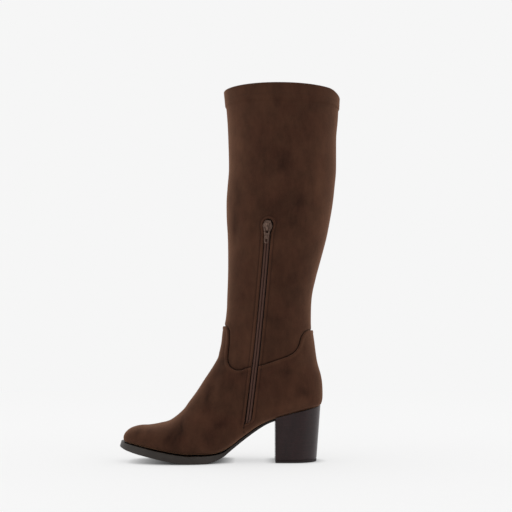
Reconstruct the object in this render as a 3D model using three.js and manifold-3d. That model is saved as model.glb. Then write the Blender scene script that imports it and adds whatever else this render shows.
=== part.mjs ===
// Knee-high boot with a block heel, for the right foot, standing empty.
// Millimetres, +Z up, toe towards -X, zip side (inner side of the leg) towards -Y, floor at Z = 0.

import * as THREE from 'three';
import { mergeVertices } from 'three/addons/utils/BufferGeometryUtils.js';
import Module from 'manifold-3d';

const wasm = await Module();
wasm.setup();

// Foot sizes
const footLength = 241.8; // toe tip of the sole to the back of the heel counter
const ballWidth = 80; // inside the vamp at its widest
const heelHeight = 66; // floor to the heel seat, at its back
const ankleHeight = 98; // heel seat to the ankle
const toeSpring = 17; // lift of the toe tip above the floor
const toeBreak = 0.35; // share of the foot length where the sole leaves the floor
const toeCurve = 5.5; // how far the toe tip turns towards the inner side

// Leg sizes
const shaftHeight = 376; // heel seat to the collar, at the front
const ankleDepth = 101; // front to back at the ankle
const ankleWidth = 76;
const calfDepth = 128; // front to back at the calf
const calfWidth = 102;
const legPlace = 0.735; // share of the foot length where the middle of the ankle stands
const calfLean = 16; // how far the calf's middle lies behind the ankle's
const collarDrop = 3; // how much lower the collar is at the back
const hemHeight = 18; // turned hem at the collar
const hemProud = 0.7; // step of the hem above the leg

// Walls and clearances
const legWall = 1.6; // suede and lining of the leg
const footWall = 1.7; // suede and lining of the vamp and counter
const gap = 0.3; // between pieces that lie on each other
const seamLap = 9; // how far the leg reaches down inside the foot part
const lastingMargin = 13; // width of the foot part's edge turned in under the insole
const insoleThickness = 2;
const soleThickness = 9; // outsole under the ball
const soleBevel = 0.8;

// Heel sizes
const heelInset = 2.4; // heel behind which the counter overhangs
const heelTopLength = 54.2;
const heelFootLength = 49.2;
const heelTopWidth = 54;
const heelFootWidth = 51;
const heelBackRound = 27; // length of the heel's rounded back
const heelRim = 1.2; // rise of the heel's upper edge above the seat, outside the counter's rounded edge
const tipThickness = 3;

// Zip sizes
const zipLength = 238.6; // bottom stop to the top of the slot
const zipBottomRise = 12; // bottom of the slot above the heel end of the arch line
const zipBottomPlace = 0.632; // shares of the foot length
const zipTopPlace = 0.7305;
const zipBow = 1.8; // how far the zip bows towards the heel between its ends
const slotWidth = 8.4;
const ridgeWidth = 3.2; // one row of the zip's coil
const ridgeDepth = 0.4; // coil below the surface around it
const tapeWidth = 9; // one half of the zip's tape
const tapeThickness = 0.8;
const zipInnerEdge = 15; // the zip lies wholly beyond this distance from the middle of the boot

// Slider and pull sizes, in the slider's own frame
const sliderHeight = 12.4;
const sliderWidth = 11.6;
const sliderTopWidth = 6.4;
const sliderEndWidth = 7.6;
const sliderThickness = 1.5;
const sliderDrop = 8; // middle of the slider below the top of the slot
const bridgeWidth = 2.4;
const bridgeHeight = 7;
const bridgeThickness = 0.9;
const barThickness = 1.2;
const barPlace = -1.9; // hinge bar, up from the slider's middle
const pullLength = 19;
const pullHeadWidth = 6.6;
const pullEndWidth = 4.9;
const pullWindowWidth = 3.4;
const pullWindowLength = 4.8;
const pullHoleWidth = 2.3;
const pullHoleLength = 3.2;
const pullEndMargin = 1.6;

// Mesh density
const around = 36; // corners of each ring
const seamSteps = 44;
const bandSteps = 8;
const lastingSteps = 16;
const heelArcSteps = 12;
const zipSteps = 24;

// Steps over the form for finding its normals
const normalStep = 0.5;
const normalTurn = 0.02;
const halvings = 18; // rounds of halving when a spot on the form is looked for

const reach = footLength + shaftHeight; // half length of the side-view cutters

// A table is a list of rows with named columns.
function table(columns, rows) {
  return rows.map((row) => Object.fromEntries(columns.map((name, i) => [name, row[i]])));
}

// Outsole's top from toe to heel: share of the foot length, share of the heel's rise, share of the toe curve
const seatTable = table(['x', 'rise', 'bend'], [
  [0.000, -0.020, -1.00],
  [0.150, 0.000, -0.75],
  [0.310, 0.000, -0.30],
  [0.420, 0.000, 0.15],
  [0.478, 0.018, 0.40],
  [0.516, 0.066, 0.48],
  [0.542, 0.146, 0.50],
  [0.640, 0.452, 0.50],
  [0.715, 0.655, 0.35],
  [0.766, 0.739, 0.20],
  [0.811, 0.790, 0.10],
  [0.868, 0.851, 0.00],
  [0.911, 0.895, 0.00],
  [0.954, 0.940, 0.00],
  [0.988, 0.976, 0.00],
  [1.010, 1.000, 0.00],
]);

// Outsole: share of the foot length, share of the thickness, half width as a share of the ball width
const soleTable = table(['x', 'thickness', 'half'], [
  [0.000, 0.68, 0.000],
  [0.004, 0.71, 0.088],
  [0.015, 0.78, 0.156],
  [0.035, 0.88, 0.223],
  [0.065, 0.95, 0.294],
  [0.105, 1.00, 0.373],
  [0.150, 1.00, 0.438],
  [0.205, 1.00, 0.491],
  [0.260, 1.00, 0.523],
  [0.310, 1.00, 0.534],
  [0.360, 1.00, 0.533],
  [0.420, 1.00, 0.506],
  [0.450, 0.90, 0.472],
  [0.478, 0.77, 0.431],
  [0.516, 0.60, 0.380],
  [0.542, 0.53, 0.346],
  [0.615, 0.44, 0.285],
  [0.700, 0.365, 0.252],
  [0.766, 0.30, 0.244],
  [0.820, 0.28, 0.225],
]);

// Foot: top point (share of foot length, of the heel's rise, of the ankle height), bottom or back point
// (share of foot length, of the ankle height above the seat), half width as a share of the ball width,
// place of the greatest width from the bottom, roundness of the upper and lower halves
const footColumns = ['topX', 'lift', 'topRise', 'seatX', 'seatRise', 'half', 'widest', 'upper', 'lower'];
const footTable = table(footColumns, [
  [0.0262, 0.00, 0.030, 0.0262, 0.017, 0.000, 0.42, 2.3, 3.0],
  [0.0295, 0.00, 0.064, 0.0295, 0.002, 0.105, 0.40, 2.3, 3.4],
  [0.0410, 0.00, 0.110, 0.0410, 0.000, 0.174, 0.38, 2.3, 4.0],
  [0.0650, 0.00, 0.166, 0.0650, 0.000, 0.244, 0.36, 2.3, 4.6],
  [0.1050, 0.00, 0.215, 0.1050, 0.000, 0.325, 0.35, 2.3, 5.0],
  [0.1500, 0.00, 0.245, 0.1500, 0.000, 0.392, 0.34, 2.3, 5.4],
  [0.2050, 0.00, 0.297, 0.2050, 0.000, 0.450, 0.33, 2.3, 5.6],
  [0.2550, 0.00, 0.357, 0.2600, 0.000, 0.482, 0.32, 2.2, 5.6],
  [0.3164, 0.00, 0.500, 0.3350, 0.000, 0.498, 0.29, 2.1, 5.6],
  [0.3520, 0.03, 0.607, 0.4000, 0.000, 0.490, 0.27, 2.0, 5.6],
  [0.3880, 0.08, 0.700, 0.4650, 0.000, 0.465, 0.26, 2.0, 5.6],
  [0.4200, 0.15, 0.782, 0.5350, 0.000, 0.432, 0.27, 2.0, 5.6],
  [0.4530, 0.25, 0.846, 0.6150, 0.000, 0.406, 0.29, 2.0, 5.8],
  [0.4764, 0.35, 0.882, 0.7000, 0.000, 0.394, 0.32, 2.0, 6.0],
  [0.4923, 0.45, 0.898, 0.7900, 0.000, 0.388, 0.36, 2.0, 6.0],
  [0.4996, 0.55, 0.917, 0.8750, 0.000, 0.388, 0.40, 2.0, 5.2],
  [0.5062, 0.65, 0.930, 0.9450, 0.000, 0.390, 0.43, 2.1, 3.6],
  [0.5095, 0.72, 0.944, 0.9800, 0.024, 0.395, 0.45, 2.1, 2.8],
  [0.5120, 0.80, 0.960, 0.9950, 0.139, 0.406, 0.46, 2.1, 2.4],
  [0.5155, 0.86, 1.000, 0.9895, 0.322, 0.424, 0.47, 2.1, 2.2],
  [0.5190, 0.91, 1.048, 0.9685, 0.531, 0.444, 0.48, 2.1, 2.1],
  [0.5235, 0.96, 1.105, 0.9555, 0.766, 0.463, 0.48, 2.1, 2.1],
  [0.5275, 1.00, 1.184, 0.9460, 0.989, 0.481, 0.48, 2.1, 2.1],
]);

// Leg: height between ankle and collar, then shares of the way from ankle size to calf size for depth
// and width, and of the calf's lean
const legTable = table(['height', 'depth', 'width', 'lean'], [
  [0.105, 0.01, 0.15, 0.05],
  [0.192, 0.16, 0.36, 0.23],
  [0.257, 0.33, 0.52, 0.39],
  [0.366, 0.64, 0.75, 0.63],
  [0.453, 0.86, 0.89, 0.74],
  [0.518, 0.98, 0.95, 0.825],
  [0.583, 1.02, 0.98, 0.92],
  [0.670, 1.035, 1.00, 1.037],
  [0.800, 1.075, 1.02, 1.017],
  [0.888, 1.20, 1.05, 1.04],
  [1.000, 1.36, 1.10, 0.99],
]);
const legWidestShare = 0.48;
const legRoundPower = 2.1;

// Seam between foot part and leg, seen from the side: share of the foot length, share of the ankle height
const seamTable = table(['x', 'rise'], [
  [0.5070, 0.964],
  [0.5255, 0.950],
  [0.5350, 0.896],
  [0.5355, 0.780],
  [0.5308, 0.656],
  [0.5296, 0.552],
  [0.5390, 0.486],
  [0.5566, 0.447],
  [0.5761, 0.430],
  [0.6009, 0.434],
  [0.6342, 0.463],
  [0.7018, 0.491],
  [0.7448, 0.526],
  [0.7882, 0.563],
  [0.8350, 0.605],
  [0.8620, 0.650],
  [0.8775, 0.697],
  [0.8885, 0.758],
  [0.8945, 0.817],
  [0.9070, 0.870],
  [0.9270, 0.906],
  [0.9553, 0.914],
]);
const seamTurn = 4; // row from which the line runs steadily towards the heel

// Smooth curve through one column of a table, without overshoot
function slope(rows, key, name, i) {
  const before = rows[Math.max(i - 1, 0)];
  const here = rows[i];
  const after = rows[Math.min(i + 1, rows.length - 1)];
  const left = i > 0 ? (here[name] - before[name]) / (here[key] - before[key]) : null;
  const right = i < rows.length - 1 ? (after[name] - here[name]) / (after[key] - here[key]) : null;
  if (left === null || right === null) return left ?? right;
  if (left * right <= 0) return 0;
  const mean = (after[name] - before[name]) / (after[key] - before[key]);
  return Math.sign(mean) * Math.min(Math.abs(mean), 3 * Math.abs(left), 3 * Math.abs(right));
}

function along(rows, key, name, at) {
  const last = rows.length - 2;
  const found = rows.findIndex((row, i) => i <= last && at < rows[i + 1][key]);
  const i = found < 0 ? last : found;
  const span = rows[i + 1][key] - rows[i][key];
  const s = THREE.MathUtils.clamp((at - rows[i][key]) / span, 0, 1);
  const start = rows[i][name];
  const end = rows[i + 1][name];
  const leave = slope(rows, key, name, i) * span;
  const arrive = slope(rows, key, name, i + 1) * span;
  const s2 = s * s;
  const s3 = s2 * s;
  return (2 * s3 - 3 * s2 + 1) * start + (s3 - 2 * s2 + s) * leave
    + (3 * s2 - 2 * s3) * end + (s3 - s2) * arrive;
}

// Places along the foot, from the middle of the whole boot's length
const collarRow = legTable[legTable.length - 1];
const collarDepth = ankleDepth + (calfDepth - ankleDepth) * collarRow.depth;
const collarBack = footLength * legPlace + calfLean * collarRow.lean + collarDepth / 2 + hemProud;
const toeX = -collarBack / 2;
const placeX = (share) => toeX + footLength * share;

const springPower = 1.3;
const spring = (share) => toeSpring * Math.max(0, 1 - share / toeBreak) ** springPower;
const seatZ = (share) => soleThickness + spring(share)
  + (heelHeight - soleThickness) * along(seatTable, 'x', 'rise', share);
const bendY = (share) => toeCurve * along(seatTable, 'x', 'bend', share);

// Cross-sections of the last and leg, each from a back or bottom point to a front or top point
const footProud = footWall + gap;

function seatPoint(share, rise) {
  const shareStep = 0.01;
  const run = footLength * shareStep;
  const climb = (seatZ(share + shareStep / 2) - seatZ(share - shareStep / 2)) / run;
  const length = Math.hypot(1, climb);
  const lift = footProud + gap;
  return [
    placeX(share) - lift * climb / length,
    seatZ(share) + lift / length + ankleHeight * rise,
  ];
}

function footSection(row) {
  const [backX, backZ] = seatPoint(row.seatX, row.seatRise);
  return {
    backX,
    backZ,
    frontX: placeX(row.topX),
    frontZ: soleThickness + spring(row.topX) + (heelHeight - soleThickness) * row.lift
      + ankleHeight * row.topRise,
    half: ballWidth * row.half,
    shift: bendY(row.seatX),
    widest: row.widest,
    upper: row.upper,
    lower: row.lower,
  };
}

function legSection(row) {
  const depth = ankleDepth + (calfDepth - ankleDepth) * row.depth;
  const width = ankleWidth + (calfWidth - ankleWidth) * row.width;
  const middle = placeX(legPlace) + calfLean * row.lean;
  const height = heelHeight + ankleHeight + (shaftHeight - ankleHeight) * row.height;
  return {
    backX: middle + depth / 2,
    backZ: height - collarDrop * row.height ** 2,
    frontX: middle - depth / 2,
    frontZ: height,
    half: width / 2,
    shift: 0,
    widest: legWidestShare,
    upper: legRoundPower,
    lower: legRoundPower,
  };
}

const sections = [...footTable.map(footSection), ...legTable.map(legSection)];
sections.forEach((section, i) => {
  const before = sections[i - 1];
  const travel = i === 0 ? 0 : Math.hypot(
    (section.frontX - before.frontX + section.backX - before.backX) / 2,
    (section.frontZ - before.frontZ + section.backZ - before.backZ) / 2,
    section.half - before.half,
  );
  section.at = i === 0 ? 0 : before.at + travel;
});
const formEnd = sections[sections.length - 1].at;
const sectionParts = ['backX', 'backZ', 'frontX', 'frontZ', 'half', 'shift', 'widest', 'upper', 'lower'];

function sectionAt(at) {
  return Object.fromEntries(sectionParts.map((name) => [name, along(sections, 'at', name, at)]));
}

function pointOn(section, angle) {
  const side = Math.cos(angle);
  const rise = Math.sin(angle);
  const power = rise >= 0 ? section.upper : section.lower;
  const radius = (Math.abs(side) ** power + Math.abs(rise) ** power) ** (-1 / power);
  const share = section.widest + radius * rise * (rise >= 0 ? 1 - section.widest : section.widest);
  return new THREE.Vector3(
    THREE.MathUtils.lerp(section.backX, section.frontX, share),
    section.shift + section.half * radius * side,
    THREE.MathUtils.lerp(section.backZ, section.frontZ, share),
  );
}

function formNormal(at, angle) {
  const least = normalStep / 10;
  const low = Math.max(at - normalStep, least);
  const high = Math.min(at + normalStep, formEnd);
  const lengthwise = pointOn(sectionAt(high), angle).sub(pointOn(sectionAt(low), angle));
  const section = sectionAt(Math.max(at, least));
  const crosswise = pointOn(section, angle + normalTurn).sub(pointOn(section, angle - normalTurn));
  return crosswise.cross(lengthwise).normalize();
}

function formPoint(at, angle, offset) {
  return pointOn(sectionAt(at), angle).addScaledVector(formNormal(at, angle), offset);
}

// Closed body through rings of points, all with the same count, fanned shut at both ends
function loft(rings) {
  const count = rings[0].length;
  const middle = (ring) => ring.reduce((sum, p) => sum.add(p), new THREE.Vector3()).divideScalar(count);
  const points = [...rings.flat(), middle(rings[0]), middle(rings[rings.length - 1])];
  const positions = points.flatMap((p) => [p.x, p.y, p.z]);
  const index = [];
  const endStart = (rings.length - 1) * count;
  for (let j = 0; j < count; j += 1) {
    const next = (j + 1) % count;
    for (let i = 0; i < rings.length - 1; i += 1) {
      const a = i * count + j;
      const b = i * count + next;
      index.push(a, b, a + count, b, b + count, a + count);
    }
    index.push(points.length - 2, next, j);
    index.push(points.length - 1, endStart + j, endStart + next);
  }
  const geometry = new THREE.BufferGeometry();
  geometry.setAttribute('position', new THREE.Float32BufferAttribute(positions, 3));
  geometry.setIndex(index);
  return geometry;
}

// Solids for joining and cutting
function solid(geometry) {
  const bare = geometry.clone();
  bare.deleteAttribute('normal');
  bare.deleteAttribute('uv');
  const welded = mergeVertices(bare);
  const corners = welded.index.array;
  const kept = [];
  for (let i = 0; i < corners.length; i += 3) {
    const [a, b, c] = corners.slice(i, i + 3);
    if (a !== b && b !== c && c !== a) kept.push(a, b, c);
  }
  return new wasm.Manifold(new wasm.Mesh({
    numProp: 3,
    vertProperties: new Float32Array(welded.attributes.position.array),
    triVerts: new Uint32Array(kept),
  }));
}

function shell(body) {
  const mesh = body.getMesh();
  const geometry = new THREE.BufferGeometry();
  geometry.setAttribute('position', new THREE.Float32BufferAttribute(mesh.vertProperties, 3));
  geometry.setIndex(new THREE.Uint32BufferAttribute(mesh.triVerts, 1));
  geometry.computeVertexNormals();
  return geometry;
}

function formBody(offset, overrun = 0) {
  const pole = formPoint(0, 0, 0);
  pole.x -= offset;
  const places = sections.slice(1).map((section) => section.at);
  const turns = Array.from({ length: around }, (_, j) => (j / around) * 2 * Math.PI);
  const rings = places.map((at) => turns.map((angle) => formPoint(at, angle, offset)));
  if (overrun > 0) {
    rings.push(rings[rings.length - 1].map((p) => p.clone().setZ(p.z + overrun)));
  }
  return solid(loft([turns.map(() => pole), ...rings]));
}

// Solid behind a side-view outline, across the given span of Y
function sideCutter(outline, low, high) {
  const shape = new THREE.Shape(outline);
  const geometry = new THREE.ExtrudeGeometry(shape, { depth: high - low, bevelEnabled: false });
  geometry.rotateX(Math.PI / 2);
  geometry.translate(0, high, 0);
  return solid(geometry);
}

// Plank through rows of {x, y, half, low, high}, with its long edges bevelled
function plank(rows, bevel) {
  return solid(loft(rows.map((row) => {
    const cut = Math.min(bevel, row.half / 2);
    const corners = [
      [row.half - cut, row.low], [row.half, row.low + bevel], [row.half, row.high - bevel],
      [row.half - cut, row.high], [cut - row.half, row.high], [-row.half, row.high - bevel],
      [-row.half, row.low + bevel], [cut - row.half, row.low],
    ];
    return corners.map(([y, z]) => new THREE.Vector3(row.x, row.y + y, z));
  })));
}

// Seam outline, from the front tab down, along the side and up to the back tab
const seamLine = new THREE.SplineCurve(seamTable.map((row) => (
  new THREE.Vector2(placeX(row.x), heelHeight + ankleHeight * row.rise))));

function belowSeam(drop) {
  const line = seamLine.getPoints(seamSteps).map((p) => new THREE.Vector2(p.x, p.y - drop));
  const first = line[0];
  const last = line[line.length - 1];
  return [
    new THREE.Vector2(-reach, -reach), new THREE.Vector2(-reach, first.y), ...line,
    new THREE.Vector2(reach, last.y), new THREE.Vector2(reach, -reach),
  ].reverse();
}

// Zip's middle line, seen from the side
const zipFootZ = seatZ(zipBottomPlace) + zipBottomRise;
const zipLine = (share) => new THREE.Vector2(
  placeX(zipBottomPlace + (zipTopPlace - zipBottomPlace) * share) + zipBow * 4 * share * (1 - share),
  zipFootZ + zipLength * share,
);

function zipBand(left, right, low, high) {
  const shares = Array.from({ length: bandSteps + 1 }, (_, i) => low + ((high - low) * i) / bandSteps);
  const edge = (side) => shares.map((share) => zipLine(share).add(new THREE.Vector2(side, 0)));
  return sideCutter([...edge(right), ...edge(left).reverse()], -reach, -zipInnerEdge);
}

// Foot part: vamp and counter in one hollow piece, open under the insole and at the seam
function footHalf(share) {
  return ballWidth * along(footTable.filter((row) => row.seatRise === 0), 'seatX', 'half', share);
}

// Opening under the insole: shares of the foot length, and how square and how narrow its ends are
const lastingStart = 0.075;
const lastingEnd = 0.925;
const lastingEndPower = 5;
const lastingEndShare = 0.2;
const lastingDepth = 6; // reach of the cut above and below the seat

function lastingCutter() {
  return plank(Array.from({ length: lastingSteps + 1 }, (_, i) => {
    const share = lastingStart + ((lastingEnd - lastingStart) * i) / lastingSteps;
    const fromMiddle = Math.abs((2 * i) / lastingSteps - 1);
    const round = Math.max(lastingEndShare, Math.sqrt(1 - fromMiddle ** lastingEndPower));
    return {
      x: placeX(share),
      y: bendY(share),
      half: (footHalf(share) - lastingMargin) * round,
      low: seatZ(share) - lastingDepth,
      high: seatZ(share) + lastingDepth,
    };
  }), 0);
}

const slotShape = () => zipBand(-slotWidth / 2, slotWidth / 2, 0, 1);

function upperBody() {
  return formBody(footProud)
    .subtract(formBody(gap))
    .intersect(sideCutter(belowSeam(0), -reach, reach))
    .subtract(lastingCutter())
    .subtract(slotShape());
}

// Leg: one hollow piece with a turned hem at the collar
function hemCutter() {
  const front = heelHeight + shaftHeight - hemHeight;
  const back = front - collarDrop;
  return sideCutter([
    new THREE.Vector2(-reach, front), new THREE.Vector2(placeX(legPlace) - calfDepth / 2, front),
    new THREE.Vector2(placeX(legPlace) + calfDepth / 2, back), new THREE.Vector2(reach, back),
    new THREE.Vector2(reach, reach * 2), new THREE.Vector2(-reach, reach * 2),
  ], -reach, reach);
}

function shaftBody() {
  return formBody(0)
    .add(formBody(hemProud).intersect(hemCutter()))
    .subtract(formBody(-legWall, hemHeight))
    .subtract(sideCutter(belowSeam(seamLap), -reach, reach))
    .subtract(slotShape());
}

// Insole: the bottom of the hollow, cut from the last's own form
function insoleBody() {
  const flatRows = footTable.filter((row) => row.seatRise === 0);
  const top = [0, ...flatRows.map((row) => row.seatX), 1].map((share) => {
    const [x, z] = seatPoint(share, 0);
    return new THREE.Vector2(x, z + insoleThickness);
  });
  return formBody(0).intersect(sideCutter([
    new THREE.Vector2(top[0].x, -reach), new THREE.Vector2(top[top.length - 1].x, -reach), ...top.reverse(),
  ], -reach, reach));
}

// Outsole: toe spring, flat tread under the ball, thin arch, and a tail let into the heel
function soleRows(clearance) {
  const end = soleTable[soleTable.length - 1];
  return soleTable.map((row) => ({
    x: placeX(row.x) + (row === end ? clearance : 0),
    y: bendY(row.x),
    half: ballWidth * row.half + clearance,
    low: seatZ(row.x) - soleThickness * row.thickness - clearance,
    high: seatZ(row.x) + clearance,
  }));
}

function outsoleBody() {
  return plank(soleRows(0), soleBevel).subtract(formBody(footProud + gap));
}

// Block heel: flat breast and sides, rounded back, tapering down to its tip
const breastX = placeX(1) - heelInset - heelTopLength;

function heelRing(length, width, z) {
  const arc = Array.from({ length: heelArcSteps + 1 }, (_, i) => {
    const angle = (i / heelArcSteps - 0.5) * Math.PI;
    return [length - heelBackRound * (1 - Math.cos(angle)), (width / 2) * Math.sin(angle)];
  });
  return [[0, -width / 2], ...arc, [0, width / 2]].map(([x, y]) => new THREE.Vector3(breastX + x, y, z));
}

function heelAt(z) {
  const share = z / heelHeight;
  return heelRing(
    THREE.MathUtils.lerp(heelFootLength, heelTopLength, share),
    THREE.MathUtils.lerp(heelFootWidth, heelTopWidth, share),
    z,
  );
}

function heelBody() {
  const bottom = tipThickness + gap;
  const seat = seatTable.map((row) => new THREE.Vector2(placeX(row.x), seatZ(row.x) + heelRim));
  const [first, last] = [seat[0], seat[seat.length - 1]];
  return solid(loft([heelAt(bottom), heelAt(heelHeight + heelRim)]))
    .intersect(sideCutter([
      new THREE.Vector2(first.x, -reach), new THREE.Vector2(last.x, -reach), ...seat.reverse(),
    ], -reach, reach))
    .subtract(formBody(footProud + gap))
    .subtract(plank(soleRows(gap), 0));
}

function tipBody() {
  return solid(loft([heelAt(0), heelAt(tipThickness)]));
}

// Spot on the inner side of the leg or foot with the given X and Z
function medialSpot(x, z) {
  const bisect = (low, high, below) => {
    let a = low;
    let b = high;
    for (let i = 0; i < halvings; i += 1) {
      const half = (a + b) / 2;
      if (below(half)) a = half;
      else b = half;
    }
    return (a + b) / 2;
  };
  const front = Math.PI / 2;
  const angleAt = (at) => {
    const section = sectionAt(at);
    return bisect(front, 3 * front, (angle) => pointOn(section, angle).x < x);
  };
  const archStart = sections[Math.round(footTable.length / 2)].at;
  const at = bisect(archStart, formEnd, (value) => pointOn(sectionAt(value), angleAt(value)).z < z);
  return { at, angle: angleAt(at) };
}

// Zip: each half is a tape behind the wall and a row of coil on it, standing in the slot
const zipStart = 0.02; // share of the slot where tape and coil begin, and the same at the top
const coilRise = 10; // height over which the coil steps out from the leg to the foot part

function coilFace(z) {
  const seamZ = heelHeight + ankleHeight * along(seamTable.slice(seamTurn), 'x', 'rise', zipBottomPlace);
  const onFoot = 1 - THREE.MathUtils.smoothstep(z, seamZ - coilRise / 2, seamZ + coilRise / 2);
  return (footProud - gap) * onFoot - ridgeDepth;
}

function zipStrip(near, far, deep, face) {
  const side = Math.sign(far);
  const rings = Array.from({ length: zipSteps + 1 }, (_, i) => {
    const middle = zipLine(zipStart + ((1 - 2 * zipStart) * i) / zipSteps);
    const [close, away] = [near, far].map((offset) => medialSpot(middle.x + offset, middle.y));
    const corners = [
      formPoint(close.at, close.angle, deep), formPoint(close.at, close.angle, face(middle.y)),
      formPoint(away.at, away.angle, face(middle.y)), formPoint(away.at, away.angle, deep),
    ];
    return side > 0 ? corners : corners.reverse();
  });
  return solid(loft(rings));
}

const tapeFace = -legWall - 2 * gap; // behind the wall's flat facets
const coilEdge = gap / 2;

function tapeBody(side) {
  return zipStrip(side * coilEdge, side * tapeWidth, tapeFace - tapeThickness, () => tapeFace);
}

function coilBody(side) {
  return zipStrip(side * coilEdge, side * (coilEdge + ridgeWidth), tapeFace + gap, coilFace);
}

// Slider and pull, in a frame that lies on the leg: X across, Y inwards, Z up the zip
function sliderFrame() {
  const spot = zipLine(1 - sliderDrop / zipLength);
  const below = zipLine(1 - (sliderDrop + sliderHeight) / zipLength);
  const { at, angle } = medialSpot(spot.x, spot.y);
  const lower = medialSpot(below.x, below.y);
  const place = formPoint(at, angle, 0);
  const up = place.clone().sub(formPoint(lower.at, lower.angle, 0)).normalize();
  const across = up.clone().cross(formNormal(at, angle)).normalize();
  const inward = up.clone().cross(across).normalize();
  const frame = new THREE.Group();
  frame.position.copy(place);
  frame.quaternion.setFromRotationMatrix(new THREE.Matrix4().makeBasis(across, inward, up));
  return frame;
}

// Plate from an outline in the slider's X and Z, between two depths outside the leg
function plate(outline, inner, outer) {
  const shape = new THREE.Shape(outline.map(([x, z]) => new THREE.Vector2(x, z)));
  const geometry = new THREE.ExtrudeGeometry(shape, { depth: outer - inner, bevelEnabled: false });
  geometry.rotateX(Math.PI / 2);
  geometry.translate(0, -inner, 0);
  return solid(geometry);
}

const rectangle = (halfWidth, low, high) => [
  [-halfWidth, low], [halfWidth, low], [halfWidth, high], [-halfWidth, high],
];
const sliderFace = 2 * gap; // inner face of the slider, outside the leg's surface
const sliderOuter = sliderFace + sliderThickness;
const barDepth = sliderOuter + gap + barThickness / 2; // middle of the hinge bar, outside the leg

function sliderBody() {
  const half = sliderHeight / 2;
  const hexagon = [
    [-sliderEndWidth / 2, -half], [sliderEndWidth / 2, -half], [sliderWidth / 2, 0],
    [sliderTopWidth / 2, half], [-sliderTopWidth / 2, half], [-sliderWidth / 2, 0],
  ];
  const coilGrip = plate(rectangle(ridgeWidth, -half, half), gap - ridgeDepth, sliderFace + gap);
  const bridgeTop = barDepth + barThickness / 2 + gap + bridgeThickness;
  const bridge = plate(rectangle(bridgeWidth / 2, barPlace - bridgeHeight / 2, barPlace + bridgeHeight / 2),
    sliderOuter - gap, bridgeTop);
  const eye = plate(rectangle(bridgeWidth, barPlace - barThickness / 2 - gap,
    barPlace + barThickness / 2 + gap), sliderOuter, bridgeTop - bridgeThickness);
  return plate(hexagon, sliderFace, sliderOuter).add(coilGrip).add(bridge).subtract(eye);
}

// Pull tab: hangs from its hinge bar, the origin of its own frame
function pullBody() {
  const top = barThickness / 2;
  const end = top - pullLength;
  const windowTop = -barThickness / 2;
  const windowEnd = windowTop - pullWindowLength;
  const holeEnd = end + pullEndMargin;
  const outline = [
    [-pullEndWidth / 2, end], [pullEndWidth / 2, end], [pullHeadWidth / 2, windowEnd],
    [pullHeadWidth / 2, top], [-pullHeadWidth / 2, top], [-pullHeadWidth / 2, windowEnd],
  ];
  const opening = (width, low, high) => plate(rectangle(width / 2, low, high), -barThickness, barThickness);
  return plate(outline, -barThickness / 2, barThickness / 2)
    .subtract(opening(pullWindowWidth, windowEnd, windowTop))
    .subtract(opening(pullHoleWidth, holeEnd, holeEnd + pullHoleLength));
}

// Assembly
function piece(name, body, color, roughness, metalness = 0) {
  const material = new THREE.MeshStandardMaterial({ color, roughness, metalness });
  const mesh = new THREE.Mesh(shell(body), material);
  mesh.name = name;
  return mesh;
}

const suede = 0x402a22;
const insoleColor = 0x8a7360;
const soleColor = 0x423e3a;
const heelColor = 0x2c2223;
const tipColor = 0x1d1919;
const metalColor = 0x5b4a42;
const zipColor = 0x3a2620;

const boot = new THREE.Group();
boot.add(
  piece('upper', upperBody(), suede, 0.95),
  piece('shaft', shaftBody(), suede, 0.95),
  piece('insole', insoleBody(), insoleColor, 0.9),
  piece('outsole', outsoleBody(), soleColor, 0.6),
  piece('heel', heelBody(), heelColor, 0.4),
  piece('heel_tip', tipBody(), tipColor, 0.8),
  piece('zip_tape_front', tapeBody(-1), zipColor, 0.8),
  piece('zip_tape_back', tapeBody(1), zipColor, 0.8),
  piece('zip_coil_front', coilBody(-1), zipColor, 0.6),
  piece('zip_coil_back', coilBody(1), zipColor, 0.6),
);

const sliderGroup = sliderFrame();
const pull = piece('zip_pull', pullBody(), metalColor, 0.4, 0.9);
pull.position.set(0, -barDepth, barPlace);
sliderGroup.add(piece('zip_slider', sliderBody(), metalColor, 0.4, 0.9), pull);
boot.add(sliderGroup);

export default boot;
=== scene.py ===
import math

import bpy
import numpy as np
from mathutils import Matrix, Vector
from mathutils.bvhtree import BVHTree


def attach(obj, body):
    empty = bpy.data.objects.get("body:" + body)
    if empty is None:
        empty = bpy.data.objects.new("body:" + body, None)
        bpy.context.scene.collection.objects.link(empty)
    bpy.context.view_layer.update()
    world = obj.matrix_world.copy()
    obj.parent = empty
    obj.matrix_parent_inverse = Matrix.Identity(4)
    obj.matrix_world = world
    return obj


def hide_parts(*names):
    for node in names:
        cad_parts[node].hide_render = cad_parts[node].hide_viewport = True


# Knee-high suede boot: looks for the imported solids.
# Shapes are worked out in millimetres, in the frame of the CAD, and written to the meshes in metres.

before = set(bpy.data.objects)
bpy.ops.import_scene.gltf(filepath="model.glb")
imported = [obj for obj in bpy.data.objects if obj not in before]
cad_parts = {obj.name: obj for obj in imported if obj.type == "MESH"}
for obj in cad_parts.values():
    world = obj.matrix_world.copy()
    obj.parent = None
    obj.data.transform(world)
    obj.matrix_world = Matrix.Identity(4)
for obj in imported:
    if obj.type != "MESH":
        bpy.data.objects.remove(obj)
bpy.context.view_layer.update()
MM = 0.001

# Camera, at the photograph's viewing angle
CAMERA_PLACE = (0.0309, -1.3, 0.150)
CAMERA_PITCH = 92.1
CAMERA_LENS = 76.29
CAMERA_SHIFT = 0.076

camera_data = bpy.data.cameras.new("camera")
camera_data.lens = CAMERA_LENS
camera_data.shift_y = CAMERA_SHIFT
camera = bpy.data.objects.new("camera", camera_data)
camera.location = CAMERA_PLACE
camera.rotation_euler = (math.radians(CAMERA_PITCH), 0, 0)
bpy.context.scene.collection.objects.link(camera)
bpy.context.scene.camera = camera
bpy.context.scene.view_settings.view_transform = "Standard"

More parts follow.
